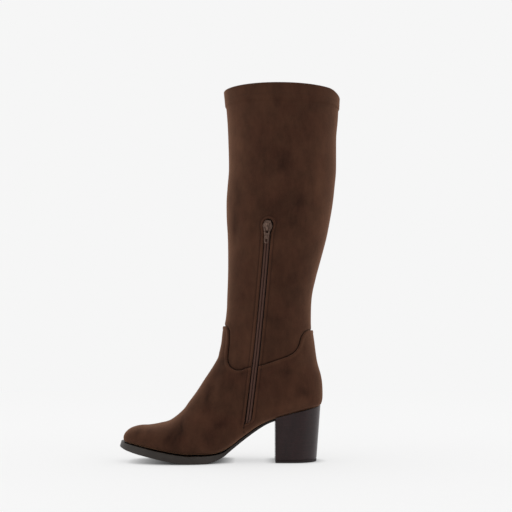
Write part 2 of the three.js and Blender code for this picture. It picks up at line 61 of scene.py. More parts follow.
# Sizes of the boot
FOOT_LENGTH = 241.8
BALL_WIDTH = 80
HEEL_HEIGHT = 66
ANKLE_HEIGHT = 98
TOE_SPRING = 17
TOE_BREAK = 0.35
SPRING_POWER = 1.3
TOE_CURVE = 5.5
SHAFT_HEIGHT = 376
ANKLE_DEPTH = 101
ANKLE_WIDTH = 76
CALF_DEPTH = 128
CALF_WIDTH = 102
LEG_PLACE = 0.735
CALF_LEAN = 16
COLLAR_DROP = 3
HEM_HEIGHT = 18
HEM_PROUD = 0.7
LEG_WALL = 1.6
FOOT_WALL = 1.7
GAP = 0.3
FOOT_PROUD = FOOT_WALL + GAP
SOLE_THICKNESS = 9
LEG_WIDEST = 0.48
LEG_ROUNDNESS = 2.1

# Heel
HEEL_INSET = 2.4
HEEL_TOP_LENGTH = 54.2
HEEL_FOOT_LENGTH = 49.2
HEEL_TOP_WIDTH = 54
HEEL_FOOT_WIDTH = 51
HEEL_BACK_ROUND = 27
TIP_THICKNESS = 3

# Zip
ZIP_LENGTH = 238.6
ZIP_BOTTOM_RISE = 12
ZIP_BOTTOM_PLACE = 0.632
ZIP_TOP_PLACE = 0.7305
ZIP_BOW = 1.8
SLOT_WIDTH = 8.4
RIDGE_DEPTH = 0.4
TAPE_WIDTH = 9
SLIDER_DROP = 8
SLIDER_HEIGHT = 12.4
SLIDER_WIDTH = 11.6
SLIDER_TOP_WIDTH = 6.4
SLIDER_END_WIDTH = 7.6
SLIDER_THICKNESS = 1.5
BAR_THICKNESS = 1.2
BAR_PLACE = -1.9
PULL_LENGTH = 19
PULL_HEAD_WIDTH = 6.6
PULL_END_WIDTH = 4.9

# Outsole's top: share of the foot length, share of the heel's rise, share of the toe curve
SEAT = [
    (0.000, -0.020, -1.00), (0.150, 0.000, -0.75), (0.310, 0.000, -0.30), (0.420, 0.000, 0.15),
    (0.478, 0.018, 0.40), (0.516, 0.066, 0.48), (0.542, 0.146, 0.50), (0.640, 0.452, 0.50),
    (0.715, 0.655, 0.35), (0.766, 0.739, 0.20), (0.811, 0.790, 0.10), (0.868, 0.851, 0.00),
    (0.911, 0.895, 0.00), (0.954, 0.940, 0.00), (0.988, 0.976, 0.00), (1.010, 1.000, 0.00),
]

# Outsole: share of the foot length, share of the thickness, half width as a share of the ball width
SOLE = [
    (0.000, 0.68, 0.000), (0.004, 0.71, 0.088), (0.015, 0.78, 0.156), (0.035, 0.88, 0.223),
    (0.065, 0.95, 0.294), (0.105, 1.00, 0.373), (0.150, 1.00, 0.438), (0.205, 1.00, 0.491),
    (0.260, 1.00, 0.523), (0.310, 1.00, 0.534), (0.360, 1.00, 0.533), (0.420, 1.00, 0.506),
    (0.450, 0.90, 0.472), (0.478, 0.77, 0.431), (0.516, 0.60, 0.380), (0.542, 0.53, 0.346),
    (0.615, 0.44, 0.285), (0.700, 0.365, 0.252), (0.766, 0.30, 0.244), (0.820, 0.28, 0.225),
]

# Foot: top point (share of length, of the heel's rise, of the ankle height), bottom or back point (share of
# length, of the ankle height), half width as a share of the ball width, widest place, two roundnesses
FOOT = [
    (0.0262, 0.00, 0.030, 0.0262, 0.017, 0.000, 0.42, 2.3, 3.0),
    (0.0295, 0.00, 0.064, 0.0295, 0.002, 0.105, 0.40, 2.3, 3.4),
    (0.0410, 0.00, 0.110, 0.0410, 0.000, 0.174, 0.38, 2.3, 4.0),
    (0.0650, 0.00, 0.166, 0.0650, 0.000, 0.244, 0.36, 2.3, 4.6),
    (0.1050, 0.00, 0.215, 0.1050, 0.000, 0.325, 0.35, 2.3, 5.0),
    (0.1500, 0.00, 0.245, 0.1500, 0.000, 0.392, 0.34, 2.3, 5.4),
    (0.2050, 0.00, 0.297, 0.2050, 0.000, 0.450, 0.33, 2.3, 5.6),
    (0.2550, 0.00, 0.357, 0.2600, 0.000, 0.482, 0.32, 2.2, 5.6),
    (0.3164, 0.00, 0.500, 0.3350, 0.000, 0.498, 0.29, 2.1, 5.6),
    (0.3520, 0.03, 0.607, 0.4000, 0.000, 0.490, 0.27, 2.0, 5.6),
    (0.3880, 0.08, 0.700, 0.4650, 0.000, 0.465, 0.26, 2.0, 5.6),
    (0.4200, 0.15, 0.782, 0.5350, 0.000, 0.432, 0.27, 2.0, 5.6),
    (0.4530, 0.25, 0.846, 0.6150, 0.000, 0.406, 0.29, 2.0, 5.8),
    (0.4764, 0.35, 0.882, 0.7000, 0.000, 0.394, 0.32, 2.0, 6.0),
    (0.4923, 0.45, 0.898, 0.7900, 0.000, 0.388, 0.36, 2.0, 6.0),
    (0.4996, 0.55, 0.917, 0.8750, 0.000, 0.388, 0.40, 2.0, 5.2),
    (0.5062, 0.65, 0.930, 0.9530, 0.000, 0.390, 0.43, 2.1, 3.6),
    (0.5095, 0.72, 0.944, 0.9880, 0.020, 0.395, 0.45, 2.1, 2.8),
    (0.5120, 0.80, 0.960, 0.9950, 0.139, 0.406, 0.46, 2.1, 2.4),
    (0.5155, 0.86, 1.000, 0.9895, 0.322, 0.424, 0.47, 2.1, 2.2),
    (0.5190, 0.91, 1.048, 0.9685, 0.531, 0.444, 0.48, 2.1, 2.1),
    (0.5235, 0.96, 1.105, 0.9555, 0.766, 0.463, 0.48, 2.1, 2.1),
    (0.5275, 1.00, 1.184, 0.9460, 0.989, 0.481, 0.48, 2.1, 2.1),
]

# Leg: height between ankle and collar, shares of depth, width and lean
LEG = [
    (0.105, 0.01, 0.15, 0.05), (0.192, 0.16, 0.36, 0.23), (0.257, 0.33, 0.52, 0.39),
    (0.366, 0.64, 0.75, 0.63), (0.453, 0.86, 0.89, 0.74), (0.518, 0.98, 0.95, 0.825),
    (0.583, 1.02, 0.98, 0.92), (0.670, 1.035, 1.00, 1.037), (0.800, 1.075, 1.02, 1.017),
    (0.888, 1.20, 1.05, 1.04), (1.000, 1.36, 1.10, 0.99),
]

# Seam between foot part and leg in the side view: share of the foot length, share of the ankle height
SEAM = [
    (0.5070, 0.964), (0.5255, 0.950), (0.5350, 0.896), (0.5355, 0.780), (0.5308, 0.656),
    (0.5296, 0.552), (0.5390, 0.486), (0.5566, 0.447), (0.5761, 0.430), (0.6009, 0.434),
    (0.6342, 0.463), (0.7018, 0.491), (0.7448, 0.526), (0.7882, 0.563), (0.8350, 0.605),
    (0.8620, 0.650), (0.8775, 0.697), (0.8885, 0.758), (0.8945, 0.817), (0.9070, 0.870),
    (0.9270, 0.906), (0.9553, 0.914),
]


class Curve:
    """Smooth curve through points, without overshoot."""

    def __init__(self, keys, values):
        self.keys = np.array(keys, float)
        self.values = np.array(values, float)
        steps = np.diff(self.values) / np.diff(self.keys)
        left, right = steps[:-1], steps[1:]
        mean = (self.values[2:] - self.values[:-2]) / (self.keys[2:] - self.keys[:-2])
        inner = np.sign(mean) * np.minimum(abs(mean), 3 * np.minimum(abs(left), abs(right)))
        inner[left * right <= 0] = 0
        self.slopes = np.concatenate([steps[:1], inner, steps[-1:]])

    def __call__(self, at):
        i = np.clip(np.searchsorted(self.keys, at, side="right") - 1, 0, len(self.keys) - 2)
        span = self.keys[i + 1] - self.keys[i]
        s = np.clip((at - self.keys[i]) / span, 0, 1)
        s2, s3 = s * s, s * s * s
        return ((2 * s3 - 3 * s2 + 1) * self.values[i] + (s3 - 2 * s2 + s) * self.slopes[i] * span
                + (3 * s2 - 2 * s3) * self.values[i + 1] + (s3 - s2) * self.slopes[i + 1] * span)


def columns(rows):
    return list(zip(*rows))


# Places along the foot
collar_depth = ANKLE_DEPTH + (CALF_DEPTH - ANKLE_DEPTH) * LEG[-1][1]
collar_back = FOOT_LENGTH * LEG_PLACE + CALF_LEAN * LEG[-1][3] + collar_depth / 2 + HEM_PROUD
TOE_X = -collar_back / 2
seat_share, seat_rise, seat_bend = columns(SEAT)
rise_curve = Curve(seat_share, seat_rise)
bend_curve = Curve(seat_share, seat_bend)


def place_x(share):
    return TOE_X + FOOT_LENGTH * share


def spring(share):
    return TOE_SPRING * np.maximum(0, 1 - np.asarray(share) / TOE_BREAK) ** SPRING_POWER


def seat_z(share):
    return SOLE_THICKNESS + spring(share) + (HEEL_HEIGHT - SOLE_THICKNESS) * rise_curve(share)


def bend_y(share):
    return TOE_CURVE * bend_curve(share)


def seat_point(share, rise):
    step = 0.01
    climb = (seat_z(share + step / 2) - seat_z(share - step / 2)) / (FOOT_LENGTH * step)
    length = math.hypot(1, climb)
    lift = FOOT_PROUD + GAP
    return place_x(share) - lift * climb / length, seat_z(share) + lift / length + ANKLE_HEIGHT * rise


def foot_section(top, lift, top_rise, seat, rise, half, widest, upper, lower):
    back_x, back_z = seat_point(seat, rise)
    front_z = (SOLE_THICKNESS + spring(top) + (HEEL_HEIGHT - SOLE_THICKNESS) * lift
               + ANKLE_HEIGHT * top_rise)
    return (back_x, back_z, place_x(top), front_z, BALL_WIDTH * half, bend_y(seat), widest, upper, lower)


def leg_section(height, depth, width, lean):
    deep = ANKLE_DEPTH + (CALF_DEPTH - ANKLE_DEPTH) * depth
    wide = ANKLE_WIDTH + (CALF_WIDTH - ANKLE_WIDTH) * width
    middle = place_x(LEG_PLACE) + CALF_LEAN * lean
    level = HEEL_HEIGHT + ANKLE_HEIGHT + (SHAFT_HEIGHT - ANKLE_HEIGHT) * height
    return (middle + deep / 2, level - COLLAR_DROP * height ** 2, middle - deep / 2, level, wide / 2, 0,
            LEG_WIDEST, LEG_ROUNDNESS, LEG_ROUNDNESS)


section_rows = np.array([foot_section(*row) for row in FOOT] + [leg_section(*row) for row in LEG], float)
moves = np.diff(section_rows, axis=0)
travel = np.sqrt(((moves[:, 2] + moves[:, 0]) / 2) ** 2 + ((moves[:, 3] + moves[:, 1]) / 2) ** 2
                 + moves[:, 4] ** 2)
section_at = np.concatenate([[0], np.cumsum(travel)])
FORM_END = section_at[-1]
section_curves = [Curve(section_at, column) for column in section_rows.T]


def point_on(at, angle):
    """Point of the bare form: angle 0 is the outer side, a quarter turn on is the front or top."""
    back_x, back_z, front_x, front_z, half, shift, widest, upper, lower = (c(at) for c in section_curves)
    side, rise = np.cos(angle), np.sin(angle)
    power = np.where(rise >= 0, upper, lower)
    radius = (abs(side) ** power + abs(rise) ** power) ** (-1 / power)
    share = widest + radius * rise * np.where(rise >= 0, 1 - widest, widest)
    return np.stack([back_x + (front_x - back_x) * share, shift + half * radius * side,
                     back_z + (front_z - back_z) * share], axis=-1)


def unit(vectors):
    return vectors / np.linalg.norm(vectors, axis=-1, keepdims=True)


def form_normal(at, angle):
    step, turn, least = 0.5, 0.02, 0.05
    here = np.maximum(at, least)
    ahead, behind = np.minimum(at + step, FORM_END), np.maximum(at - step, least)
    lengthwise = point_on(ahead, angle) - point_on(behind, angle)
    crosswise = point_on(here, angle + turn) - point_on(here, angle - turn)
    normal = unit(np.cross(crosswise, lengthwise))
    return np.where((np.asarray(at) == 0)[..., None], [-1.0, 0, 0], normal)


def form_point(at, angle, offset):
    return point_on(at, angle) + form_normal(at, angle) * np.asarray(offset)[..., None]


def smooth(value, low, high):
    s = np.clip((value - low) / (high - low), 0, 1)
    return s * s * (3 - 2 * s)


def bell(value, middle, width):
    return np.exp(-(((value - middle) / width) ** 2))


def round_off(distance, radius):
    """Drop of a quarter round as a share of its depth, by distance from its edge."""
    near = np.clip(1 - distance / radius, 0, 1)
    return 1 - np.sqrt(1 - near ** 2)


def distance_from(pieces, points):
    """Distance of points from the nearest of some straight pieces."""
    best = np.full(len(points), np.inf)
    for start, end in pieces:
        run = end - start
        t = np.clip(((points - start) @ run) / max(run @ run, 1e-9), 0, 1)
        best = np.minimum(best, np.linalg.norm(points - start - t[:, None] * run, axis=1))
    return best


def inside(outline, points):
    found = np.zeros(len(points), bool)
    x, z = points.T
    for (xa, za), (xb, zb) in zip(outline, np.roll(outline, -1, axis=0)):
        if za != zb:
            crosses = (za > z) != (zb > z)
            found ^= crosses & (x < xa + (z - za) * (xb - xa) / (zb - za))
    return found


def spline(points, steps):
    """Points of a uniform Catmull-Rom curve."""
    points = np.array(points, float)
    parts = []
    last = len(points) - 1
    for i in range(last):
        a, b, c, d = (points[min(max(k, 0), last)] for k in (i - 1, i, i + 1, i + 2))
        t = np.linspace(0, 1, steps, endpoint=False)[:, None]
        parts.append(0.5 * (2 * b + (c - a) * t + (2 * a - 5 * b + 4 * c - d) * t ** 2
                            + (3 * b - a - 3 * c + d) * t ** 3))
    return np.concatenate(parts + [points[-1:]])


FAR = 300
seam_line = spline([(place_x(x), HEEL_HEIGHT + ANKLE_HEIGHT * rise) for x, rise in SEAM], 6)
seam_line = np.concatenate([[[-FAR, seam_line[0, 1]]], seam_line, [[FAR, seam_line[-1, 1]]]])
seam_outline = np.concatenate([seam_line, [[FAR, -FAR], [-FAR, -FAR]]])


def seam_field(points):
    """Distance above the seam in the side view, negative on the foot part."""
    flat = points[:, [0, 2]]
    distance = distance_from(zip(seam_line, seam_line[1:]), flat)
    return distance * np.where(inside(seam_outline, flat), -1, 1)


ZIP_FOOT_Z = seat_z(ZIP_BOTTOM_PLACE) + ZIP_BOTTOM_RISE
ZIP_TOP_Z = ZIP_FOOT_Z + ZIP_LENGTH
ZIP_END_CURVE = 7
ZIP_POINT_WIDTH = 0.4
SLOT_FLARE = 1.8
FLARE_LENGTH = 12
SLOT_CAP_RADIUS = SLOT_WIDTH / 2 + SLOT_FLARE
SLOT_CAP_Z = ZIP_TOP_Z - SLOT_CAP_RADIUS


def zip_x(z):
    share = (z - ZIP_FOOT_Z) / ZIP_LENGTH
    bow = ZIP_BOW * 4 * share * (1 - share)
    return place_x(ZIP_BOTTOM_PLACE + (ZIP_TOP_PLACE - ZIP_BOTTOM_PLACE) * share) + bow


def slot_closing(z):
    """How far the heel side of the slot has come forwards at the foot end."""
    return (SLOT_WIDTH - ZIP_POINT_WIDTH) * round_off(z - ZIP_FOOT_Z, ZIP_END_CURVE)


def slot_half(z):
    """Half the slot's width, which grows round the slider."""
    return SLOT_WIDTH / 2 + SLOT_FLARE * smooth(z, SLOT_CAP_Z - FLARE_LENGTH, SLOT_CAP_Z)


def slot_field(points):
    """Distance outside the zip's slot in the side view, negative in the slot."""
    x, y, z = points.T
    across = x - zip_x(z)
    field = abs(across + slot_closing(z) / 2) - slot_half(z) + slot_closing(z) / 2
    field = np.where(z > SLOT_CAP_Z, np.hypot(across, z - SLOT_CAP_Z) - SLOT_CAP_RADIUS, field)
    field = np.where(z < ZIP_FOOT_Z, np.hypot(across + SLOT_WIDTH / 2, z - ZIP_FOOT_Z), field)
    return np.where(y < 0, field, FAR)


# Line of the seam that runs on below the zip
TAIL_X = zip_x(ZIP_FOOT_Z) - SLOT_WIDTH / 2
TAIL_LINE = ZIP_FOOT_Z * np.array([0, 1]) + [(TAIL_X, 1), (TAIL_X - 0.6, -6), (TAIL_X - 0.2, -16)]


def tail_field(points):
    distance = distance_from(zip(TAIL_LINE, TAIL_LINE[1:]), points[:, [0, 2]])
    return np.where(points[:, 1] < 0, distance, FAR)


class Surface:
    """Triangles on the form, each corner with its place along it and its angle round it."""

    def __init__(self, low, high, step, around, tip=False):
        rows = max(2, round((high - low) / step) + 1)
        at, angle = np.meshgrid(np.linspace(low, high, rows),
                                np.linspace(-0.5, 1.5, around + 1) * math.pi, indexing="ij")
        corner = np.arange(rows * (around + 1)).reshape(rows, around + 1)
        a, b = corner[:-1, :-1].ravel(), corner[:-1, 1:].ravel()
        c, d = corner[1:, :-1].ravel(), corner[1:, 1:].ravel()
        self.at, self.angle = at.ravel(), angle.ravel()
        self.faces = np.concatenate([np.stack([a, b, c], 1), np.stack([b, d, c], 1)])
        if tip:
            pole = len(self.at)
            fan = np.stack([np.full(around, pole), corner[0, 1:], corner[0, :-1]], 1)
            self.at, self.angle = np.append(self.at, 0), np.append(self.angle, math.pi)
            self.faces = np.concatenate([self.faces, fan])
        self.fields = {}

    def probe(self):
        return form_point(self.at, self.angle, FOOT_PROUD)

    def measure(self, name, field):
        self.fields[name] = field(self.probe())

    def split(self, name, level, snap=0.04):
        """Cuts the triangles along one level of a field and returns the cut's segments."""
        value = self.fields[name] - level
        side = np.where(abs(value) < snap, 0, np.sign(value)).astype(int)
        corners = side[self.faces]
        crossed = (corners.min(1) < 0) & (corners.max(1) > 0)
        faces, kept = self.faces[crossed], self.faces[~crossed]
        signs = corners[crossed]
        through = (signs == 0).any(1)
        lone = np.argmax(np.where(through[:, None], signs == 0,
                                  signs == -np.sign(signs.sum(1))[:, None]), 1)
        turn = (lone[:, None] + np.arange(3)) % 3
        faces = np.take_along_axis(faces, turn, 1)
        two, one = faces[~through], faces[through]
        edges = np.concatenate([two[:, [0, 1]], two[:, [0, 2]], one[:, [1, 2]]])
        if not len(edges):
            return np.zeros((0, 2), int)
        unique, which = np.unique(np.sort(edges, 1), axis=0, return_inverse=True)
        which = which.ravel() + len(self.at)
        start, end = unique.T
        share = value[start] / (value[start] - value[end])
        for key in ("at", "angle"):
            old = getattr(self, key)
            setattr(self, key, np.append(old, old[start] + (old[end] - old[start]) * share))
        for key, old in self.fields.items():
            self.fields[key] = np.append(old, old[start] + (old[end] - old[start]) * share)
        m, n, p = np.split(which, [len(two), 2 * len(two)])
        a, b, c = two.T
        d, e, f = one.T
        self.faces = np.concatenate([kept, np.stack([a, m, n], 1), np.stack([m, b, c], 1),
                                     np.stack([m, c, n], 1), np.stack([d, e, p], 1), np.stack([d, p, f], 1)])
        return np.concatenate([np.stack([m, n], 1), np.stack([d, p], 1)])

    def straighten(self, name, reach):
        """Turns a side-view field into distance over the surface, near its zero line."""
        segments = self.split(name, 0)
        points = self.probe()
        field = self.fields[name]
        near = abs(field) < reach
        field[near] = np.sign(field[near]) * distance_from(points[segments], points[near])
        field[~near] = np.sign(field[~near]) * np.maximum(abs(field[~near]), reach)

    def split_at(self, name, levels):
        for level in levels:
            self.split(name, level)

    def keep(self, name, low, high):
        value = self.fields[name][self.faces]
        middle = value.mean(1)
        self.faces = self.faces[(middle > low) & (middle < high)]

    def open_slot(self, levels=()):
        """Takes the zip's slot out and splits the triangles beside it."""
        self.measure("slot", slot_field)
        self.split("slot", 0)
        self.keep("slot", 0, 2 * FAR)
        self.tidy()
        self.split_at("slot", levels)

    def close(self):
        """Welds the two edges where the grid meets itself, once nothing is split any more."""
        low = np.flatnonzero(self.angle < -0.5 * math.pi + 1e-6)
        high = np.flatnonzero(self.angle > 1.5 * math.pi - 1e-6)
        low = low[np.argsort(self.at[low])]
        near = np.clip(np.searchsorted(self.at[low], self.at[high] - 1e-4), 0, len(low) - 1)
        same = abs(self.at[low[near]] - self.at[high]) < 2e-4
        swap = np.arange(len(self.at))
        swap[high[same]] = low[near[same]]
        self.faces = swap[self.faces]
        self.tidy()

    def tidy(self):
        used, faces = np.unique(self.faces, return_inverse=True)
        self.faces = faces.reshape(-1, 3)
        self.at, self.angle = self.at[used], self.angle[used]
        self.fields = {key: value[used] for key, value in self.fields.items()}


# Meshes
def new_mesh(name, points, faces, attributes=None, sharp=None):
    """Piece from points in millimetres, smooth up to an angle in degrees."""
    mesh = bpy.data.meshes.new(name)
    mesh.from_pydata((np.asarray(points) * MM).tolist(), [], [list(map(int, face)) for face in faces])
    for key, values in (attributes or {}).items():
        mesh.attributes.new(key, "FLOAT", "POINT").data.foreach_set("value", np.asarray(values, np.float32))
    mesh.validate()
    mesh.shade_smooth()
    if sharp:
        mesh.set_sharp_from_angle(angle=math.radians(sharp))
    piece = bpy.data.objects.new(name, mesh)
    bpy.context.scene.collection.objects.link(piece)
    return piece


COLLAR_Z = HEEL_HEIGHT + SHAFT_HEIGHT
COLLAR_FADE = 40
COLLAR_RISE = 2.0
CORNER_LENGTH = 16
CORNER_DROP = 5.5
CORNER_FADE = 25


def lifted(points):
    """Raises the collar at the sides of the leg and lowers it at the back, fading out below."""
    x, y, z = points[..., 0], points[..., 1], points[..., 2]
    corner = np.clip(1 + (x + TOE_X) / CORNER_LENGTH, 0, 1) ** 2
    rise = (COLLAR_RISE * (y / (CALF_WIDTH / 2)) ** 2 * smooth(z, COLLAR_Z - COLLAR_FADE, COLLAR_Z)
            - CORNER_DROP * corner * smooth(z, COLLAR_Z - CORNER_FADE, COLLAR_Z))
    return points + rise[..., None] * [0, 0, 1]


SHEET_SHARP = 55


def closed_sheet(name, made, outside, inside_offset, **attributes):
    """Closed piece between two layers of one surface, each given by its offset from the form."""
    faces, count = made.faces, len(made.at)
    layers = [lifted(form_point(made.at, made.angle, offset)) for offset in (outside, inside_offset)]
    edges = np.concatenate([faces[:, [0, 1]], faces[:, [1, 2]], faces[:, [2, 0]]])
    _, which, times = np.unique(np.sort(edges, 1), axis=0, return_inverse=True, return_counts=True)
    a, b = edges[times[which.ravel()] == 1].T
    walls = np.concatenate([np.stack([b, a, a + count], 1), np.stack([b, a + count, b + count], 1)])
    everything = np.concatenate([faces, faces[:, ::-1] + count, walls])
    doubled = {key: np.concatenate([value, value]) for key, value in attributes.items()}
    return new_mesh(name, np.concatenate(layers), everything, doubled, SHEET_SHARP)


# Soft folds, placed in the side view of the inner side: x, z, half length, half width, lean in degrees,
# depth
FOLDS = [
    (-56, 38, 18, 1.6, 84, -0.5), (-52, 38, 20, 3.0, 84, 0.4), (-63, 33, 11, 4, 62, -0.7),
    (-18, 92, 16, 4, 80, -0.5), (-10, 90, 16, 4, 82, 0.4), (15, 104, 9, 1.5, 86, -0.45),
    (19, 105, 9, 1.5, 86, 0.4), (23, 105, 8, 1.4, 86, -0.4), (8, 102, 8, 1.8, 84, 0.35),
    (-6, 120, 7, 3, 20, -0.5), (40, 96, 14, 6, 70, -0.5), (60, 92, 12, 5, -30, -0.5),
    (78, 88, 18, 5, -20, -0.6), (30, 250, 40, 7, 88, -0.6), (0, 300, 30, 8, 86, 0.5),
    (6, 268, 14, 4, 82, -0.7), (60, 330, 40, 9, 92, -0.6), (52, 190, 30, 8, 84, -0.5),
    (86, 300, 50, 9, 90, 0.5),
]

# Painted shade and highlight, partly nap tone: darker strokes along the creases' troughs, lighter ones on
# their ridges and along the leg's front and back; x, z, half length, half width, lean, strength
SHADE_AND_NAP_STROKES = [
    (-106, 38, 7, 2.2, 50, -0.9), (-92, 39, 5, 3, 30, -0.8), (-96, 33, 8, 5, 10, 0.5),
    (-71, 30, 9, 3.2, 55, -1.1), (-62, 31, 8, 2.4, 65, -0.8), (-56, 38, 20, 1.8, 84, -0.8),
    (-25, 32, 10, 9, 20, -0.8), (-10, 46, 10, 5, 30, -0.7), (-40, 50, 22, 5, 70, 0.45),
    (-88, 46, 14, 3, 5, 0.5), (-12, 118, 8, 4, 0, -0.7), (-15, 104, 7, 6, 0, -0.6),
    (-26, 80, 16, 4, 80, -0.7), (-14, 84, 12, 5, 80, 0.4), (16, 104, 8, 4, 86, -0.8),
    (37, 90, 10, 7, 40, -0.7), (67, 106, 8, 4, 0, -0.6), (88, 82, 13, 5, -30, -0.9),
    (60, 64, 20, 5, 8, 0.5), (78, 72, 12, 6, 10, 0.4), (96, 76, 8, 5, 10, 0.45),
    (52, 168, 9, 12, 0, -0.5), (22, 150, 12, 40, 0, 0.3), (53, 299, 14, 12, 60, -0.7),
    (67, 352, 12, 9, 60, -0.6), (92, 358, 9, 7, 88, -0.5), (84, 305, 5, 8, 0, -0.6),
    (56, 420, 7, 4, 90, -0.6), (38, 412, 10, 5, 90, 0.4), (4, 390, 4, 8, 0, -0.4),
    (5, 283, 12, 4, 86, -0.8), (8, 380, 40, 8, 90, 0.5), (112, 250, 60, 8, 92, 0.35),
    (108, 360, 60, 8, 90, 0.45),
]


def summed_marks(points, marks):
    x, y, z = points.T
    total = np.zeros(len(points))
    for mark_x, mark_z, length, width, lean, strength in marks:
        turn = math.radians(lean)
        dx, dz = x - mark_x, z - mark_z
        along = dx * math.cos(turn) + dz * math.sin(turn)
        across = dz * math.cos(turn) - dx * math.sin(turn)
        total += strength * bell(along, 0, length) * bell(across, 0, width)
    return total * smooth(-y, -6, 6)


def on_both_sides(points, marks, shift):
    """Marks on the inner side, and mirrored ones, a little shifted, on the outer side."""
    mirrored = [(x + shift, z - shift, length, width, 180 - lean, strength)
                for x, z, length, width, lean, strength in marks]
    return summed_marks(points, marks) + summed_marks(points * [1, -1, 1], mirrored)


def bells(distance, rows):
    """Profile across a line: height, middle and width of each of its rises and grooves."""
    return sum(height * bell(distance, middle, width) for height, middle, width in rows)


# Folded edges, seams and the line below the zip: profiles, painted highlight and shade by distance, and where
# triangles are cut
FOLD_RADIUS = 0.8
STITCH_OFFSET = 3.6
SLOT_LEVELS = (0.25, 0.55, 0.85, 1.4, 2.1, 2.9, STITCH_OFFSET, 4.4)
SLOT_SHAPE = [(0.5, 1.4, 1.1), (-0.28, STITCH_OFFSET, 0.7)]
# Painted highlight on the fold's lip beside the slot, and painted shade along its stitch groove
SLOT_SHADE = [(0.45, 1.5, 0.9), (-0.45, STITCH_OFFSET, 0.8)]
FOOT_SEAM_LEVELS = (-0.12, -0.35, -0.65, -1.0, -1.7, -2.6, -3.8)
FOOT_SEAM_SHAPE = [(0.3, -2.2, 1.6), (-0.22, -4.6, 0.8)]
# Painted highlight along the foot part's rolled edge at the seam
FOOT_SEAM_SHADE = [(0.5, -1.8, 1.4)]
TAIL_LEVELS = (0.35, 0.8, 1.5)
TAIL_SHAPE = [(-0.5, 0, 0.7)]
# Painted shade along the seam line below the zip: darker nap, and a near-black band in its groove
TAIL_SHADE = [(-0.7, 0, 1.0)]
TAIL_GROOVE_SHADE = 0.6
LEG_SEAM_LEVELS = (-1.2, -0.5, 0.5, 1.1, 1.9, 3.0)
LEG_SEAM_SHAPE = [(-0.6, 0.3, 0.9), (0.25, 4.0, 2.0)]
# Painted shade in the groove on the leg side of the seam: darker nap, and a near-black band
LEG_SEAM_SHADE = [(-1.2, 0.2, 1.0)]
LEG_GROOVE_SHADE = (0.2, 0.7)
RIM_LEVELS = (0.12, 0.4, 0.8, 1.4)
SLOT_CALM = (3, 10)
SEAM_CALM = (2, 8)
FOLD_SHIFT = 6
STROKE_SHIFT = 9


def soft_shape(points, slot):
    """Two heights: the edges beside the zip, and the suede's creases, which fade out there."""
    edge = bells(slot, SLOT_SHAPE) - FOLD_RADIUS * round_off(slot, FOLD_RADIUS)
    return edge, on_both_sides(points, FOLDS, FOLD_SHIFT) * smooth(slot, *SLOT_CALM)


# Painted shade and highlight of the creases and of the edges beside the zip, with nap tone
def nap_shade(points, slot):
    return on_both_sides(points, SHADE_AND_NAP_STROKES, STROKE_SHIFT) + bells(slot, SLOT_SHADE)


COLUMNS = 240
ROW_STEP = 2.6
FORM_START = 0.6
SEAM_REACH = 14
LEG_LAP = 7


def suede_surface(low, high, levels):
    """The part of the form between two distances from the seam, with the zip's slot open."""
    made = Surface(FORM_START, FORM_END, ROW_STEP, COLUMNS, tip=True)
    made.measure("seam", seam_field)
    made.straighten("seam", SEAM_REACH)
    if low > -FAR:
        made.split("seam", low)
    made.keep("seam", low, high)
    made.tidy()
    made.split_at("seam", levels)
    made.open_slot(SLOT_LEVELS)
    return made


# Foot part
EDGE_RADIUS = 1.0
TOE_SETBACK = 1.5
TOE_BLEND = 9


def foot_piece():
    made = suede_surface(-2 * FAR, 0, FOOT_SEAM_LEVELS)
    made.measure("tail", tail_field)
    made.split_at("tail", TAIL_LEVELS)
    made.close()
    seam, slot, tail = (made.fields[name] for name in ("seam", "slot", "tail"))
    base = made.probe()
    edge, creases = soft_shape(base, slot)
    offset = (FOOT_PROUD + edge + creases - EDGE_RADIUS * round_off(-seam, EDGE_RADIUS)
              + bells(seam, FOOT_SEAM_SHAPE) + bells(tail, TAIL_SHAPE)
              - TOE_SETBACK * bell(made.at, 0, TOE_BLEND))
    shade = nap_shade(base, slot) + bells(seam, FOOT_SEAM_SHADE) + bells(tail, TAIL_SHADE)
    return closed_sheet("foot_suede", made, offset, GAP, nap=shade, groove=bell(tail, 0, TAIL_GROOVE_SHADE))


# Leg
HEM_LEVELS = (-2.0, -1.5, -1.0, -0.5, 0.1, 0.6)
HEM_STEP = 1.1
SUEDE_WALL = 1.0


def hem_field(points):
    x, _, z = points.T
    slope = COLLAR_DROP / CALF_DEPTH
    front = place_x(LEG_PLACE) + CALF_LEAN - CALF_DEPTH / 2
    return z - (COLLAR_Z - HEM_HEIGHT - slope * (x - front))


def leg_piece():
    made = suede_surface(-LEG_LAP, 2 * FAR, LEG_SEAM_LEVELS)
    made.measure("hem", hem_field)
    made.split_at("hem", HEM_LEVELS)
    made.fields["rim"] = FORM_END - made.at
    made.split_at("rim", RIM_LEVELS)
    made.close()
    seam, slot, hem, rim = (made.fields[name] for name in ("seam", "slot", "hem", "rim"))
    base = made.probe()
    edge, creases = soft_shape(base, slot)
    offset = (edge + creases * smooth(seam, *SEAM_CALM) - FOLD_RADIUS * round_off(rim, FOLD_RADIUS)
              + HEM_STEP * smooth(hem, HEM_LEVELS[0], HEM_LEVELS[-1]) + bells(seam, LEG_SEAM_SHAPE))
    shade = nap_shade(base, slot) + bells(seam, LEG_SEAM_SHADE)
    return closed_sheet("leg_suede", made, offset, -SUEDE_WALL, nap=shade, groove=bell(seam, *LEG_GROOVE_SHADE))


foot_suede = foot_piece()
leg_suede = leg_piece()


# Linings: coarser layers inside the suede
LINING_COLUMNS = 120
LINING_STEP = 4


def lining_piece(name, seam_range, offsets, low, high):
    made = Surface(low, high, LINING_STEP, LINING_COLUMNS, tip=low < 1)
    made.measure("seam", seam_field)
    made.split_at("seam", seam_range)
    made.keep("seam", *seam_range)
    made.open_slot()
    made.close()
    return closed_sheet(name, made, *offsets)


